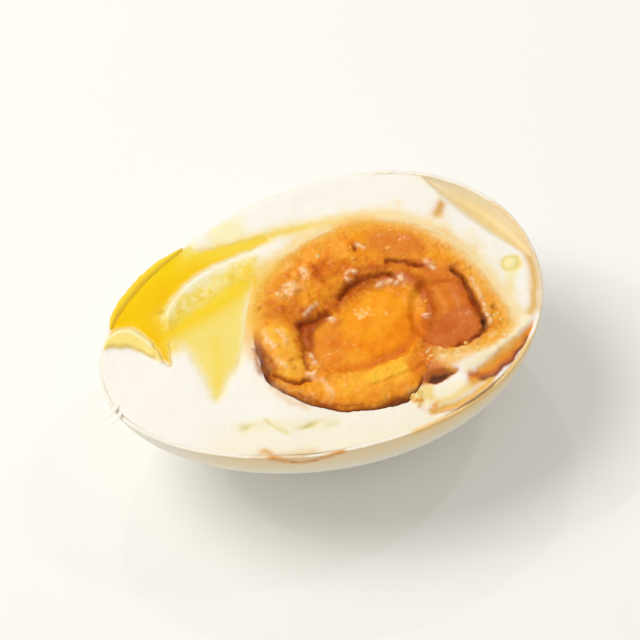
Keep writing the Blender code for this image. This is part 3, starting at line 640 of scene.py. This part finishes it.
def white_height(x, y, to_shell, to_yolk):
    """Height of the cut face of the white."""
    rise = face_rise(x, y) + 0.012 * bumps(x, y, 0.8, 6.1)
    torn, crumbs = margins(x, y)[1], crumb_rise(x, y)
    x, y = white_places(x, y)
    rise += relief(WHITE_RELIEF, x, y)
    flap, side, along = nearest(x, y, smooth_course(FLAP_PATH))
    slope = np.where(side > 0, 0.35, 1.6)
    band, apron = oil_cover(x, y)
    rise = rise * (1 - apron) - apron * 0.34
    rise += curds(x, y) * (bumpy(x, y, (0.1, 1.2, 4.2), (0.05, 0.5, 1.9)) + 0.1)
    rise = rise * (1 - band) - band * (0.36 + 0.5 * ease(-9, -16, x))
    rise += 0.55 * ease(1, 0.3, along) * fade(flap, slope) * (1 - 0.6 * band)
    rise += 0.4 * mark(x, y, "patch", 0.6, FLAP_LOBE)
    rise -= 0.03 * ease(0.5, 0, to_shell) ** 2
    return rise + crumbs - 0.12 * torn * ease(0.4, 0, to_yolk) ** 2


def stained_white(x, y):
    """Colour of the white and of the oil over it, with curds showing through."""
    x, y = white_places(x, y)
    spots = curds(x, y) * ease(-0.25, 0.35, bumpy(x, y, (1, 1.1, 7.3), (0.5, 0.45, 2.3)))
    return blended(painted("#FEF7EE", x, y, WHITE_PAINT + OIL_PAINT), ("#FFE468", 0.6 * curds(x, y)),
                   ("#FFDC40", 0.8 * spots), ("#E2C448", 0.3 * ease(0.75, 1, spots)))


def lobe_colours(x, y, colours):
    """The colours with the paint of the lobes over them, mottled where the yolk crumbles."""
    crumbs = crumbling(x, y)
    lot = bumpy(x, y, (1, 0.9, 6.6), (0.5, 0.45, 2.7))
    return blended(laid(colours, LOBE_PAINT, *white_places(x, y)),
                   ("#EFA740", crumbs * (0.75 * ease(0, 0.5, lot))),
                   ("#FEF1CC", crumbs * (0.8 * ease(-0.1, -0.6, lot))))


def smoothness(x, y):
    """1 where the knife left the yolk smooth, 0 where it is crumbly."""
    return np.clip(sum(mark(x, y, "patch", 0.7, outline) for outline in YOLK_SMOOTH), 0, 1)


def yolk_height(x, y, from_core, to_edge, crumbly=1):
    """Height of the cut face of the yolk, crumbly in full or less so."""
    smooth = smoothness(x, y)
    crumb = bumpy(x, y, (0.2, 1.9, 8.1), (0.13, 0.9, 2.2), (0.07, 0.42, 4.9))
    crumb += 0.14 * beads(x, y, 1.3, 7.7, 0.5)
    inner = ease(0, 1.2, to_edge)
    rise = face_rise(x, y) - YOLK_SINK * inner + 0.1 * bumps(x, y, 2.2, 5) * smooth
    rise += crumbly * crumb * (1 - 0.75 * smooth) * (0.05 + 0.95 * inner) - 0.4 * torn_edge_and_shade(x, y, to_edge)
    rise += crumb_rise(x, y) + glint_cover(x, y)[1]
    uneven = 1 + 0.45 * bumps(x, y, 1.3, 7.9)
    x, y = yolk_places(x, y)
    rise += relief(YOLK_BOWLS, x, y) + uneven * relief(YOLK_RELIEF, x, y)
    return rise - 1.6 * ease(0.74, 0.6, from_core)


def yolk_colours(x, y):
    """Colour of the yolk, its core too, so that the two blend where they meet."""
    mottle = ease(-0.1, 0.5, bumpy(x, y, (1, 1.5, 0.7), (0.6, 0.6, 5.3)))
    broad = ease(-0.2, 0.5, bumpy(x, y, (1, 3.1, 3.3), (0.5, 1.4, 1.8)))
    broken = ease(-0.4, 0.2, bumps(x, y, 0.55, 8.4))
    true_x, true_y = x, y
    x, y = yolk_places(x, y)
    mottle *= 1.7 - smoothness(x, y)
    colours = painted("#F5A424", x, y, YOLK_PAINT) * (1 - mottle[:, None] * np.array((0.06, 0.17, 0.4)))
    colours *= 1 + (0.5 - broad[:, None]) * np.array((0.06, 0.2, 0.4))
    # Painted highlights on the glint bumps, broken into specks
    cover = (0.25 + 0.7 * broken) * glint_cover(true_x, true_y)[0]
    return lobe_colours(true_x, true_y, blended(colours, ("#FFDAB2", cover)))


def points_of(piece):
    """A piece's points as an array."""
    found = np.empty(len(piece.data.vertices) * 3, np.float32)
    piece.data.vertices.foreach_get("co", found)
    return found.reshape(-1, 3).astype(float)


def instead(where, new, old):
    """Coordinates taken from the new ones where told, and else from the old ones."""
    return [np.where(where, ours, theirs) for ours, theirs in zip(new, old)]


def put(piece, x, y, z):
    """Move a piece's points to places given in millimetres from the cut."""
    places = np.stack([x, y, z + CUT_HEIGHT], axis=1) * MM
    piece.data.vertices.foreach_set("co", places.astype(np.float32).ravel())
    piece.data.update()
    piece.data.shade_smooth()


def sheet_of_cells(name, across, along):
    """A flat sheet to shape: the piece, and each point's shares from 0 to 1 both ways."""
    bpy.ops.object.select_all(action="DESELECT")
    bpy.ops.mesh.primitive_grid_add(x_subdivisions=across, y_subdivisions=along, size=2)
    piece = bpy.context.object
    piece.name = name
    shares = (points_of(piece)[:, :2] + 1) / 2
    return piece, shares[:, 0], shares[:, 1]


def ball(name, turns, rows):
    """A sheet to wrap into a ball: the piece, each point's row from the pole, and its angle."""
    piece, turn, height = sheet_of_cells(name, turns, rows)
    return piece, np.rint(height * rows), math.tau * np.rint(turn * turns) / turns - math.pi


def weld(piece):
    """Join the seam and the poles of a sheet that was wrapped into a ball."""
    bpy.ops.object.mode_set(mode="EDIT")
    bpy.ops.mesh.select_all(action="SELECT")
    bpy.ops.mesh.remove_doubles(threshold=WELD_GAP)
    bpy.ops.object.mode_set(mode="OBJECT")
    piece.data.shade_smooth()


def sharpen(piece, row, at):
    """Keep the shading crisp along one row of a piece's points, where its cut face ends."""
    ends = np.empty(len(piece.data.edges) * 2, np.int32)
    piece.data.edges.foreach_get("vertices", ends)
    sharp = (row[ends.reshape(-1, 2)] == at).all(axis=1)
    piece.data.attributes.new("sharp_edge", "BOOLEAN", "EDGE").data.foreach_set("value", sharp)


def thicken(piece, thickness):
    """Give a sheet its thickness, in millimetres, below the modelled side."""
    wall = piece.modifiers.new("thickness", "SOLIDIFY")
    wall.thickness = thickness * MM
    bpy.ops.object.modifier_apply(modifier=wall.name)


def store(piece, colours):
    """Keep the paint of a piece's points, for its material."""
    kept = piece.data.attributes.new("paint", "FLOAT_COLOR", "POINT")
    full = np.concatenate([colours, np.ones((len(colours), 1))], axis=1)
    kept.data.foreach_set("color", full.astype(np.float32).ravel())


def finish(piece, material, slot, *nodes):
    """Give a piece its material and its body, and hide the nodes that it stands for. The slot is not used.
    """
    piece.data.materials.clear()
    piece.data.materials.append(material)
    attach(piece, "root")
    if nodes:
        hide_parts(*nodes)


def add(tree, kind, inputs=None, **settings):
    """Add a shader node with its settings, and its inputs as values or as linked sockets."""
    made = tree.nodes.new(kind)
    for name, value in settings.items():
        setattr(made, name, value)
    for name, value in (inputs or {}).items():
        if isinstance(value, bpy.types.NodeSocket):
            tree.links.new(value, made.inputs[name])
        else:
            made.inputs[name].default_value = value
    return made


def new_material(name, **settings):
    """A material with a Principled shader, whose sockets take the settings."""
    material = bpy.data.materials.new(name)
    material.use_nodes = True
    shader = material.node_tree.nodes["Principled BSDF"]
    for socket, value in settings.items():
        shader.inputs[socket.replace("_", " ")].default_value = value
    return material, material.node_tree, shader


def food(name, sinks, shade, pores, wet, **settings):
    """A food's material. Light sinks in by (weight, radii, depth), the paint is shaded by noise of
    (size, detail, darkest), pores have (size, detail, depth), and wetness (size, detail, least, most).
    Sizes and depths are in millimetres."""
    material, tree, shader = new_material(name, Subsurface_Weight=sinks[0], Subsurface_Radius=sinks[1],
                                          Subsurface_Scale=sinks[2] * MM, **settings)
    paint = add(tree, "ShaderNodeAttribute", attribute_name="paint").outputs["Color"]
    place = add(tree, "ShaderNodeTexCoord").outputs["Object"]
    shading, pitting, wetting = [
        add(tree, "ShaderNodeTexNoise", {"Vector": place, "Scale": 1 / (size * MM),
                                         "Detail": detail}).outputs["Fac"]
        for size, detail, *_ in (shade, pores, wet)]
    share, roughness = [
        add(tree, "ShaderNodeMapRange", {"Value": value, "From Min": 0.25, "From Max": 0.75,
                                         "To Min": low, "To Max": high}).outputs["Result"]
        for value, low, high in ((shading, 0, 1), (wetting, *wet[2:]))]
    shades = add(tree, "ShaderNodeMix", {MIX_SHARE: share, MIX_A: (*shade[2], 1), MIX_B: (1, 1, 1, 1)},
                 data_type="RGBA")
    shaded = add(tree, "ShaderNodeMix", {MIX_SHARE: 1, MIX_A: paint, MIX_B: shades.outputs[MIXED]},
                 data_type="RGBA", blend_type="MULTIPLY")
    bump = add(tree, "ShaderNodeBump", {"Height": pitting, "Distance": pores[2] * MM, "Strength": 1})
    tree.links.new(shaded.outputs[MIXED], shader.inputs["Base Color"])
    tree.links.new(bump.outputs["Normal"], shader.inputs["Normal"])
    tree.links.new(roughness, shader.inputs["Roughness"])
    return material


def eggshell():
    """Duck eggshell: calcite with a thin waxy bloom. Satin, finely pored, faintly mottled. The
    pores are drawn coarser than real ones, so that they show."""
    return food("duck_eggshell", (0.3, (1, 0.85, 0.6), 0.3), (3, 3, (0.965, 0.965, 0.965)),
                (0.45, 3, 0.03), (1.5, 2, 0.42, 0.55), Specular_IOR_Level=0.35)


def egg_white():
    """Cooked, salted egg white: firm, moist gel. Light sinks in, and the cut has a soft sheen."""
    return food("cooked_egg_white", (0.4, (1, 0.9, 0.8), 0.25), (2.2, 3, (0.97, 0.97, 0.97)),
                (0.9, 4, 0.06), (1.8, 2, 0.34, 0.5),
                Specular_IOR_Level=0.3, Coat_Weight=0.12, Coat_Roughness=0.2)


def cooked_yolk():
    """Salted yolk, set hard and oily: orange crumbs with fat between them. Uneven wet gloss. The
    grains are drawn coarser than real ones, so that they show."""
    return food("oily_cooked_yolk", (0.3, (1, 0.5, 0.15), 0.4), (0.6, 4, linear("#F8E4C4")),
                (0.5, 4, 0.035), (0.8, 2, 0.3, 0.55),
                Specular_IOR_Level=0.1, Coat_Weight=0.12, Coat_Roughness=0.08)


def yolk_core():
    """Middle of the yolk, cured to a firm waxy ball. Even, translucent and glossy."""
    return food("cured_yolk_core", (0.4, (1, 0.5, 0.15), 0.5), (1.3, 3, linear("#FAE8C8")),
                (0.6, 3, 0.05), (1.2, 2, 0.25, 0.45),
                Specular_IOR_Level=0.1, Coat_Weight=0.07, Coat_Roughness=0.1)


def yolk_oil():
    """Yolk oil: carotene-coloured fat, liquid and smooth. Deep yellow with sharp highlights."""
    return food("yolk_oil", (0.3, (1, 0.8, 0.2), 0.5), (4, 2, linear("#FFFAEE")),
                (2.4, 2, 0.05), (2, 2, 0.1, 0.2),
                Specular_IOR_Level=0.1, Coat_Weight=0.15, Coat_Roughness=0.05)


def make_shell(material):
    """Shell: a cup of even thickness with a broken rim, a flat foot and a lining."""
    outside, rim, inside = 56, 6, 46
    rows = outside + rim + inside
    piece, row, angle = ball("duck_shell", 512, rows)
    middle = (0, 0)
    edge = egg_reach(angle, SHELL_THICKNESS / 2, centre=middle)
    rim_x, rim_y = around(edge, angle, middle)
    rough = 0.4 + 0.6 * ease(0, 20, rim_x)
    rise = 0.16 * rough * bumps(rim_x, rim_y, 3, 0.5) - 0.3 * ease(-4, 12, rim_y) * ease(16, 2, rim_x)
    rise += rough * bumpy(rim_x, rim_y, (0.09, 0.8, 4), (0.06, 0.35, 9))
    for chip, reach, depth in RIM_CHIPS:
        rise -= depth * mark(rim_x, rim_y, "spot", (reach, reach), chip)
    across = np.clip((row - outside) / rim, 0, 1)
    share = np.where(row <= outside, row / outside, np.clip((rows - row) / inside, 0, 1))
    dip = np.pi / 2 * (1 - share) - rise / edge * share ** 6
    outer, between, inner = (egg_reach(angle, inset, dip, middle)
                             for inset in (0, SHELL_THICKNESS / 2, SHELL_THICKNESS))
    reach = np.where(across < 0.5, outer, inner)
    reach = reach + (between - reach) * 2 * np.where(across < 0.5, across, 1 - across)
    x, y = around(reach * np.cos(dip), angle, middle)
    crown = np.sin(math.pi * across)
    z = -reach * np.sin(dip) + 0.05 * crown - 0.05
    z += 0.07 * bumps(x, y, 0.5, 3.3) * crown
    put(piece, x, y, np.maximum(z, FOOT_LEVEL))
    lining = (across > 0.5).astype(float)
    front = ease(6, -10, y) * ease(-30, -16, x)
    cell = ease(12, 24, x) * ease(-8, 2, y)
    colours = blended(painted("#F2EFE1", x, y), ("#F0D8A8", 0.9 * front * ease(-9, -1, z)),
                      ("#FBF0DC", lining), ("#FFE6BC", lining * cell), ("#FDF5E8", crown))
    high = ease(-1.6, -0.4, z)[:, None]
    colours = laid(colours, RIM_PAINT, *white_places(x, y)) * high + colours * (1 - high)
    cracked = laid(colours, CRACK_PAINT, *wobbled(x, z, 0.15, 0.8, 2.1))
    store(piece, np.where(((y < -10) & (across < 0.8))[:, None], cracked, colours))
    weld(piece)
    finish(piece, material, "eggshell", "shell")


def make_white(material):
    """White: fills the shell, with its cut face modelled in full and a pocket for the yolk."""
    wall, face, pocket = 16, 92, 11
    seam = SHELL_THICKNESS - 0.05
    piece, row, angle = ball("cooked_white", 800, wall + face + pocket)
    gap = 0.06 * margins(*around(1, angle))[1] - 0.02
    outer, inner = white_reach(angle, seam), yolk_reach(angle) + gap
    across = outer + (inner - outer) * np.clip((row - wall) / face, 0, 1)
    x, y = around(across, angle)
    places = x, y, white_height(x, y, outer - across, across - inner)
    is_wall, is_pocket = row < wall, row > wall + face
    dip = np.pi / 2 * (1 - np.clip(row / wall, 0, 1))
    below = white_reach(angle, seam, dip)
    places = instead(is_wall, (*around(below * np.cos(dip), angle), -below * np.sin(dip)), places)
    fall = np.pi / 2 * np.clip((row - wall - face) / pocket, 0, 1)
    depth = -(YOLK_DEPTH + 0.3) * np.sin(fall)
    below = (yolk_reach(angle, depth) + gap) * np.cos(fall)
    x, y, z = instead(is_pocket, (*around(below, angle), depth), places)
    put(piece, x, y, z)
    soft = margins(x, y)[0]
    away = np.maximum(across - inner, 0) * bumpy(x, y, (0.6, 2.2, 9.9), (0.3, 0.7, 1.2), base=1)
    colours = blended(stained_white(x, y),
                      ("#FBDC92", (0.1 + 0.75 * soft) * fade(away, 1.9) * ~is_wall),
                      ("#F5B64C", soft * fade(away, 0.8) * ~is_wall))
    colours = lobe_colours(x, y, laid(colours, HALO_PAINT, *yolk_places(x, y)))
    store(piece, blended(colours, ("#A8551E", 0.9 * is_pocket)))
    sharpen(piece, row, wall + face)
    weld(piece)
    finish(piece, material, "egg_white", "white")


def make_yolk(material):
    """Outer yolk: crumbly, torn into hollows round its core, with a ball's underside."""
    under, face, middle = 12, 100, 10
    rows = under + face + middle
    piece, row, angle = ball("crumbly_yolk", 720, rows)
    edge, close = yolk_reach(angle), 4.6
    across = edge + (close - edge) * np.clip((row - under) / face, 0, 1)
    across = np.where(row > under + face, close * (rows - row) / middle, across)
    x, y = around(across, angle)
    from_core = np.hypot((x - CORE_CENTRE[0]) / CORE_HALF_SIZE[0], (y - CORE_CENTRE[1]) / CORE_HALF_SIZE[1])
    places = x, y, yolk_height(x, y, from_core, edge - across)
    dip = np.pi / 2 * (1 - np.clip(row / under, 0, 1))
    depth = -YOLK_DEPTH * np.sin(dip)
    below = *around(yolk_reach(angle, depth) * np.cos(dip), angle), np.minimum(depth, -1.2)
    x, y, z = instead(row < under, below, places)
    put(piece, x, y, z)
    far = (edge - across) * bumpy(x, y, (0.6, 2.4, 9.1), (0.3, 0.8, 4.6), base=1)
    margin = fade(far, 1.5) * margins(x, y)[0]
    torn = torn_edge_and_shade(x, y, edge - across)
    # The torn edge: oil-stained brown, deepened by painted shade of the crevice between yolk and white
    colours = blended(yolk_colours(x, y), ("#F9BC4A", 0.85 * margin), ("#9A460E", 0.95 * torn),
                      ("#501E08", 0.8 * torn ** 3))
    store(piece, laid(colours, HALO_PAINT, *yolk_places(x, y)))
    sharpen(piece, row, under)
    weld(piece)
    finish(piece, material, "yolk", "yolk")


def make_core(material):
    """Core: a firm ball whose cut top is worn nearly flat and uneven."""
    rows = 100
    piece, row, angle = ball("cured_core", 240, rows)
    lean = np.pi * (row / rows - 0.5)
    out = np.cos(lean)
    wide = out * (1 + 0.05 * bumps(2 * np.cos(angle), 2 * np.sin(angle), 1, 6.6))
    x = CORE_CENTRE[0] + wide * np.cos(angle) * CORE_HALF_SIZE[0]
    y = CORE_CENTRE[1] + wide * np.sin(angle) * CORE_HALF_SIZE[1]
    uneven = out * bumpy(x, y, (0.16, 3.2, 1.7), (0.08, 1.1, 3.1), base=1)
    top = yolk_ground(x, y, 0.2) + 0.5 * (1 - uneven ** 2) - 0.14
    top -= 1.5 * (1 - np.sqrt(1 - np.minimum(out, 1) ** 24))
    top += bumpy(x, y, (0.14, 3.4, 4.4), (0.03, 1.1, 1.1)) * (1 - out ** 12)
    put(piece, x, y, np.where(lean > 0, top, np.sin(lean) * CORE_HALF_SIZE[2] - CORE_SINK))
    store(piece, yolk_colours(x, y))
    weld(piece)
    finish(piece, material, "yolk_core", "yolk_core")


def make_oil(material):
    """Oil: one level sheet, whose shore is where the white rises through it."""
    piece, turn, inward = sheet_of_cells("oil_pool", 200, 150)
    first, last = 204, 112
    angle = np.radians(first + (last - first) * turn)
    outer, inner = egg_reach(angle, SHELL_THICKNESS), yolk_reach(angle) + 0.3
    x, y = around(outer + (inner - outer) * (1 - inward), angle)
    cover = np.clip(sum(oil_cover(*white_places(x, y))), 0, 1)
    put(piece, x, y, -0.2 - 0.6 * ease(0.4, 0.02, cover) + 0.02 * bumps(x, y, 3, 1))
    store(piece, stained_white(x, y))
    thicken(piece, 0.2)
    finish(piece, material, "yolk_oil", "yolk_oil")


def strand(name, course, material, slot, colour="#FEF8EC", slope=0):
    """A thin tapering strip of food along a course of (x, y, z, half width, half thickness). Its
    right half can slope down."""
    rows = 40
    piece, row, angle = ball(name, 16, rows)
    course = np.array(smooth_course(course, steps=6))
    at = row / rows * (len(course) - 1)
    ahead = np.gradient(course[:, 0]), np.gradient(course[:, 1])
    x, y, z, wide, thick, run, climb = (np.interp(at, np.arange(len(course)), values)
                                        for values in (*course.T, *ahead))
    length = np.hypot(run, climb)
    ends = np.sqrt(np.clip(1 - (2 * row / rows - 1) ** 8, 0, 1))
    aside = wide * ends * np.cos(angle) * (1 + 0.3 * bumps(x + y, angle, 1.3, 2.2))
    x, y = x - aside * climb / length, y + aside * run / length
    put(piece, x, y, z - thick * ends * np.sin(angle) + slope * np.minimum(aside, 0))
    store(piece, painted(colour, x, y))
    weld(piece)
    finish(piece, material, slot)


def scatter(name, groups, height_share, roughness, colours, material, slot):
    """Small lumps of one kind as one piece, from groups as lumps_along takes them."""
    made = []
    bpy.ops.object.select_all(action="DESELECT")
    for x, y, height, radius in [lump for group in groups for lump in lumps_along(*group)]:
        bpy.ops.mesh.primitive_ico_sphere_add(subdivisions=3, radius=1)
        lump = bpy.context.object
        places = points_of(lump)
        if roughness:
            uneven = [noise.noise(Vector(1.1 * p + (x, y, 0))) + 0.4 * noise.noise(Vector(3 * p))
                      for p in places]
            places *= 1 + roughness * np.array(uneven)[:, None]
        places *= (radius, radius * random.uniform(0.7, 1), radius * height_share)
        put(lump, places[:, 0] + x, places[:, 1] + y, places[:, 2] + height)
        store(lump, painted(random.choice(colours), *places[:, :2].T))
        made.append(lump)
    for lump in made:
        lump.select_set(True)
    bpy.context.view_layer.objects.active = made[0]
    bpy.ops.object.join()
    piece = bpy.context.object
    piece.name = name
    finish(piece, material, slot)


def lumps_along(count, apart, radii, lift, height_of, course):
    """Places for lumps near a course, sitting on the surface that height_of gives."""
    course = np.array(smooth_course(course))
    found = []
    for _ in range(count):
        place = course[random.randrange(len(course))] + np.array([random.gauss(0, apart) for _ in range(2)])
        radius = random.uniform(*radii)
        ground = float(height_of(place[:1], place[1:2])[0])
        found.append((place[0], place[1], ground + lift * radius, radius))
    return found


def yolk_ground(x, y, crumbly=1):
    """Height of the yolk's face at places well inside it."""
    return yolk_height(x, y, from_core=2, to_edge=3, crumbly=crumbly)


def white_ground(x, y):
    """Height of the white's face at places well inside it."""
    return white_height(x, y, to_shell=3, to_yolk=3)


def make_crumbs(material):
    """Crumbs that the knife left: yolk along the lobes and in the hollows, at true size."""
    scatter("yolk_crumbs", (
        (11, 0.8, (0.25, 0.6), -0.5, white_ground, ((12.8, -11.3), (15.5, -12), (20.5, -12.6))),
        (8, 0.6, (0.25, 0.6), -0.5, white_ground, ((8.6, -16.6), (8.8, -17.4), (10, -18.2))),
        (4, 0.4, (0.25, 0.5), -0.5, yolk_ground, ((22.8, 1), (23.6, -4), (23.8, -9))),
        (5, 1.2, (0.25, 0.5), -0.5, yolk_ground, ((-6, 6), (0, 9.6), (7, 11.6)))),
        0.7, 0.5, ("#F7C86E", "#F4B450", "#FBDC98", "#F9D080"), material, "yolk")


def make_drops(material):
    """Drops of oil standing on the cut yolk. Clear orange-yellow, with sharp glints."""
    scatter("oil_drops", (
        (4, 0.4, (0.3, 0.6), -0.1, yolk_ground, ((-3.2, 6.2), (-2.2, 5.4), (0.6, 8))),
        (5, 0.6, (0.25, 0.5), -0.1, yolk_ground, ((5, 6.8), (9.4, 9.7), (13, 7.6))),
        (5, 0.5, (0.25, 0.5), -0.1, yolk_ground, ((-3, -5.2), (-3.6, -8), (-6.8, -5.4))),
        (5, 0.5, (0.2, 0.4), -0.14, yolk_ground, ((13.4, -6.6), (15.6, 4.9), (12.4, 6.4)))),
        0.45, 0, ("#F2A43A", "#EE9428"), material, "yolk_oil")


def make_cell_skin(material):
    """Skin that hangs hollow across the air cell, from the white's edge to the shell's rim."""
    piece, along, inward = sheet_of_cells("air_cell_skin", 160, 40)
    seam = SHELL_THICKNESS - 0.1
    angle = np.radians(np.linspace(-40, 100, 561))
    open_at = angle[egg_reach(angle, seam) - white_reach(angle, seam) > 0.02]
    angle = open_at[0] + (open_at[-1] - open_at[0]) * along
    inner = white_reach(angle, seam) - 0.1
    width = egg_reach(angle, seam) - inner
    x, y = around(inner + width * inward, angle)
    sag = 0.3 * width * np.sin(np.pi * inward ** 1.3) * (1 + 0.12 * bumps(x, y, 3, 5.2))
    put(piece, x, y, face_rise(x, y) * (1 - inward) - 0.22 - sag + 0.03 * bumps(x, y, 1.2, 3.6))
    ends = np.maximum(2 * along - 1, 0.5 - along) ** 2
    store(piece, blended(painted("#FFDB9C", x, y),
                         ("#FDE8BE", 0.9 * ease(0.6, 1, inward) * ease(0, 0.4, along)),
                         ("#FDEBCB", 0.85 * ends), ("#FBF3DF", ease(0.35, 0, inward))))
    thicken(piece, 0.08)
    finish(piece, material, "egg_white")


def make_membranes(material):
    """Torn ends of the thin white skin under the shell, sticking out at the point."""
    strand("torn_skin_1", ((-31, -3, 0, 0.35, 0.08), (-32.2, -3.9, 0.2, 0.3, 0.07),
                           (-33.3, -4.6, 0, 0.08, 0.04)), material, "egg_white")
    strand("torn_skin_2", ((-30.8, -4.2, -0.1, 0.3, 0.08), (-31.9, -5, 0, 0.28, 0.07),
                           (-32.9, -5.4, -0.3, 0.08, 0.04)), material, "egg_white")


def make_run(material):
    """Oil that has run over the shell's rim at the upper left, as a wet yellow lip."""
    strand("oil_on_rim", ((-28.3, 9.3, 0.02, 0.25, 0.06), (-26.65, 11.4, 0.07, 0.65, 0.14),
                          (-24.05, 13.5, 0.09, 0.8, 0.16), (-21.1, 15.45, 0.09, 0.8, 0.16),
                          (-17.9, 17.05, 0.07, 0.65, 0.14), (-14.3, 18.5, 0.02, 0.25, 0.06)),
           material, "yolk_oil", "#FFD638", slope=1.1)


def make_floor():
    """Pale floor of the studio."""
    bpy.ops.object.select_all(action="DESELECT")
    bpy.ops.mesh.primitive_plane_add(size=4)
    floor = bpy.context.object
    floor.name = "floor"
    material, _, shader = new_material("matt_white_board", Roughness=0.9, Specular_IOR_Level=0.1)
    shader.inputs["Base Color"].default_value = (*linear("#FAF9F6"), 1)
    floor.data.materials.append(material)


def area_light(name, right, up, back, size, power, colour, aim):
    """A round light, placed by the camera's axes and aimed at a place."""
    towards = (CAMERA_RIGHT * right + CAMERA_UP * up + CAMERA_RIGHT.cross(CAMERA_UP) * back).normalized()
    lamp = bpy.data.lights.new(name, "AREA")
    lamp.shape = "DISK"
    lamp.size = size
    lamp.energy = power
    lamp.color = linear(colour)
    holder = bpy.data.objects.new(name, lamp)
    bpy.context.scene.collection.objects.link(holder)
    holder.location = aim + towards * LIGHT_DISTANCE
    holder.rotation_euler = towards.to_track_quat("Z", "Y").to_euler()


def make_studio():
    """Camera of the fitted view, a soft light and three small ones above, and a white room."""
    scene = bpy.context.scene
    aim = Vector((CAMERA_AIM[0], CAMERA_AIM[1], CUT_HEIGHT)) * MM
    back = CAMERA_RIGHT.cross(CAMERA_UP).normalized()
    up = back.cross(CAMERA_RIGHT).normalized()
    right = up.cross(back)
    lens = bpy.data.cameras.new("camera")
    lens.lens = LENS
    lens.sensor_width = SENSOR
    camera = bpy.data.objects.new("camera", lens)
    scene.collection.objects.link(camera)
    turn = Matrix((right, up, back)).transposed().to_4x4()
    place = aim + back * (FRAME_WIDTH * MM * LENS / SENSOR)
    camera.matrix_world = Matrix.Translation(place) @ turn
    lens.clip_start, lens.clip_end = 0.05, 20
    scene.camera = camera
    area_light("key", -0.75, 0.75, 0.75, 0.55, 4, "#FFFDF8", aim)
    area_light("sparkle_1", -0.15, 1, 0.3, 0.03, 0.35, "#FFFFFF", aim)
    area_light("sparkle_2", -0.8, 0.5, 0.5, 0.03, 0.3, "#FFFFFF", aim)
    area_light("sparkle_3", 0.5, 0.9, 0.6, 0.03, 0.3, "#FFFFFF", aim)
    world = bpy.data.worlds.new("white_room")
    world.use_nodes = True
    room = world.node_tree.nodes["Background"]
    room.inputs["Color"].default_value = (*linear("#FFFDFA"), 1)
    room.inputs["Strength"].default_value = 0.55
    scene.world = world
    scene.view_settings.view_transform = "Standard"


random.seed(7)
make_floor()
make_studio()
white_look, yolk_look, oil_look = egg_white(), cooked_yolk(), yolk_oil()
make_shell(eggshell())
make_white(white_look)
make_yolk(yolk_look)
make_core(yolk_core())
make_oil(oil_look)
make_crumbs(yolk_look)
make_drops(oil_look)
make_run(oil_look)
make_cell_skin(white_look)
make_membranes(white_look)
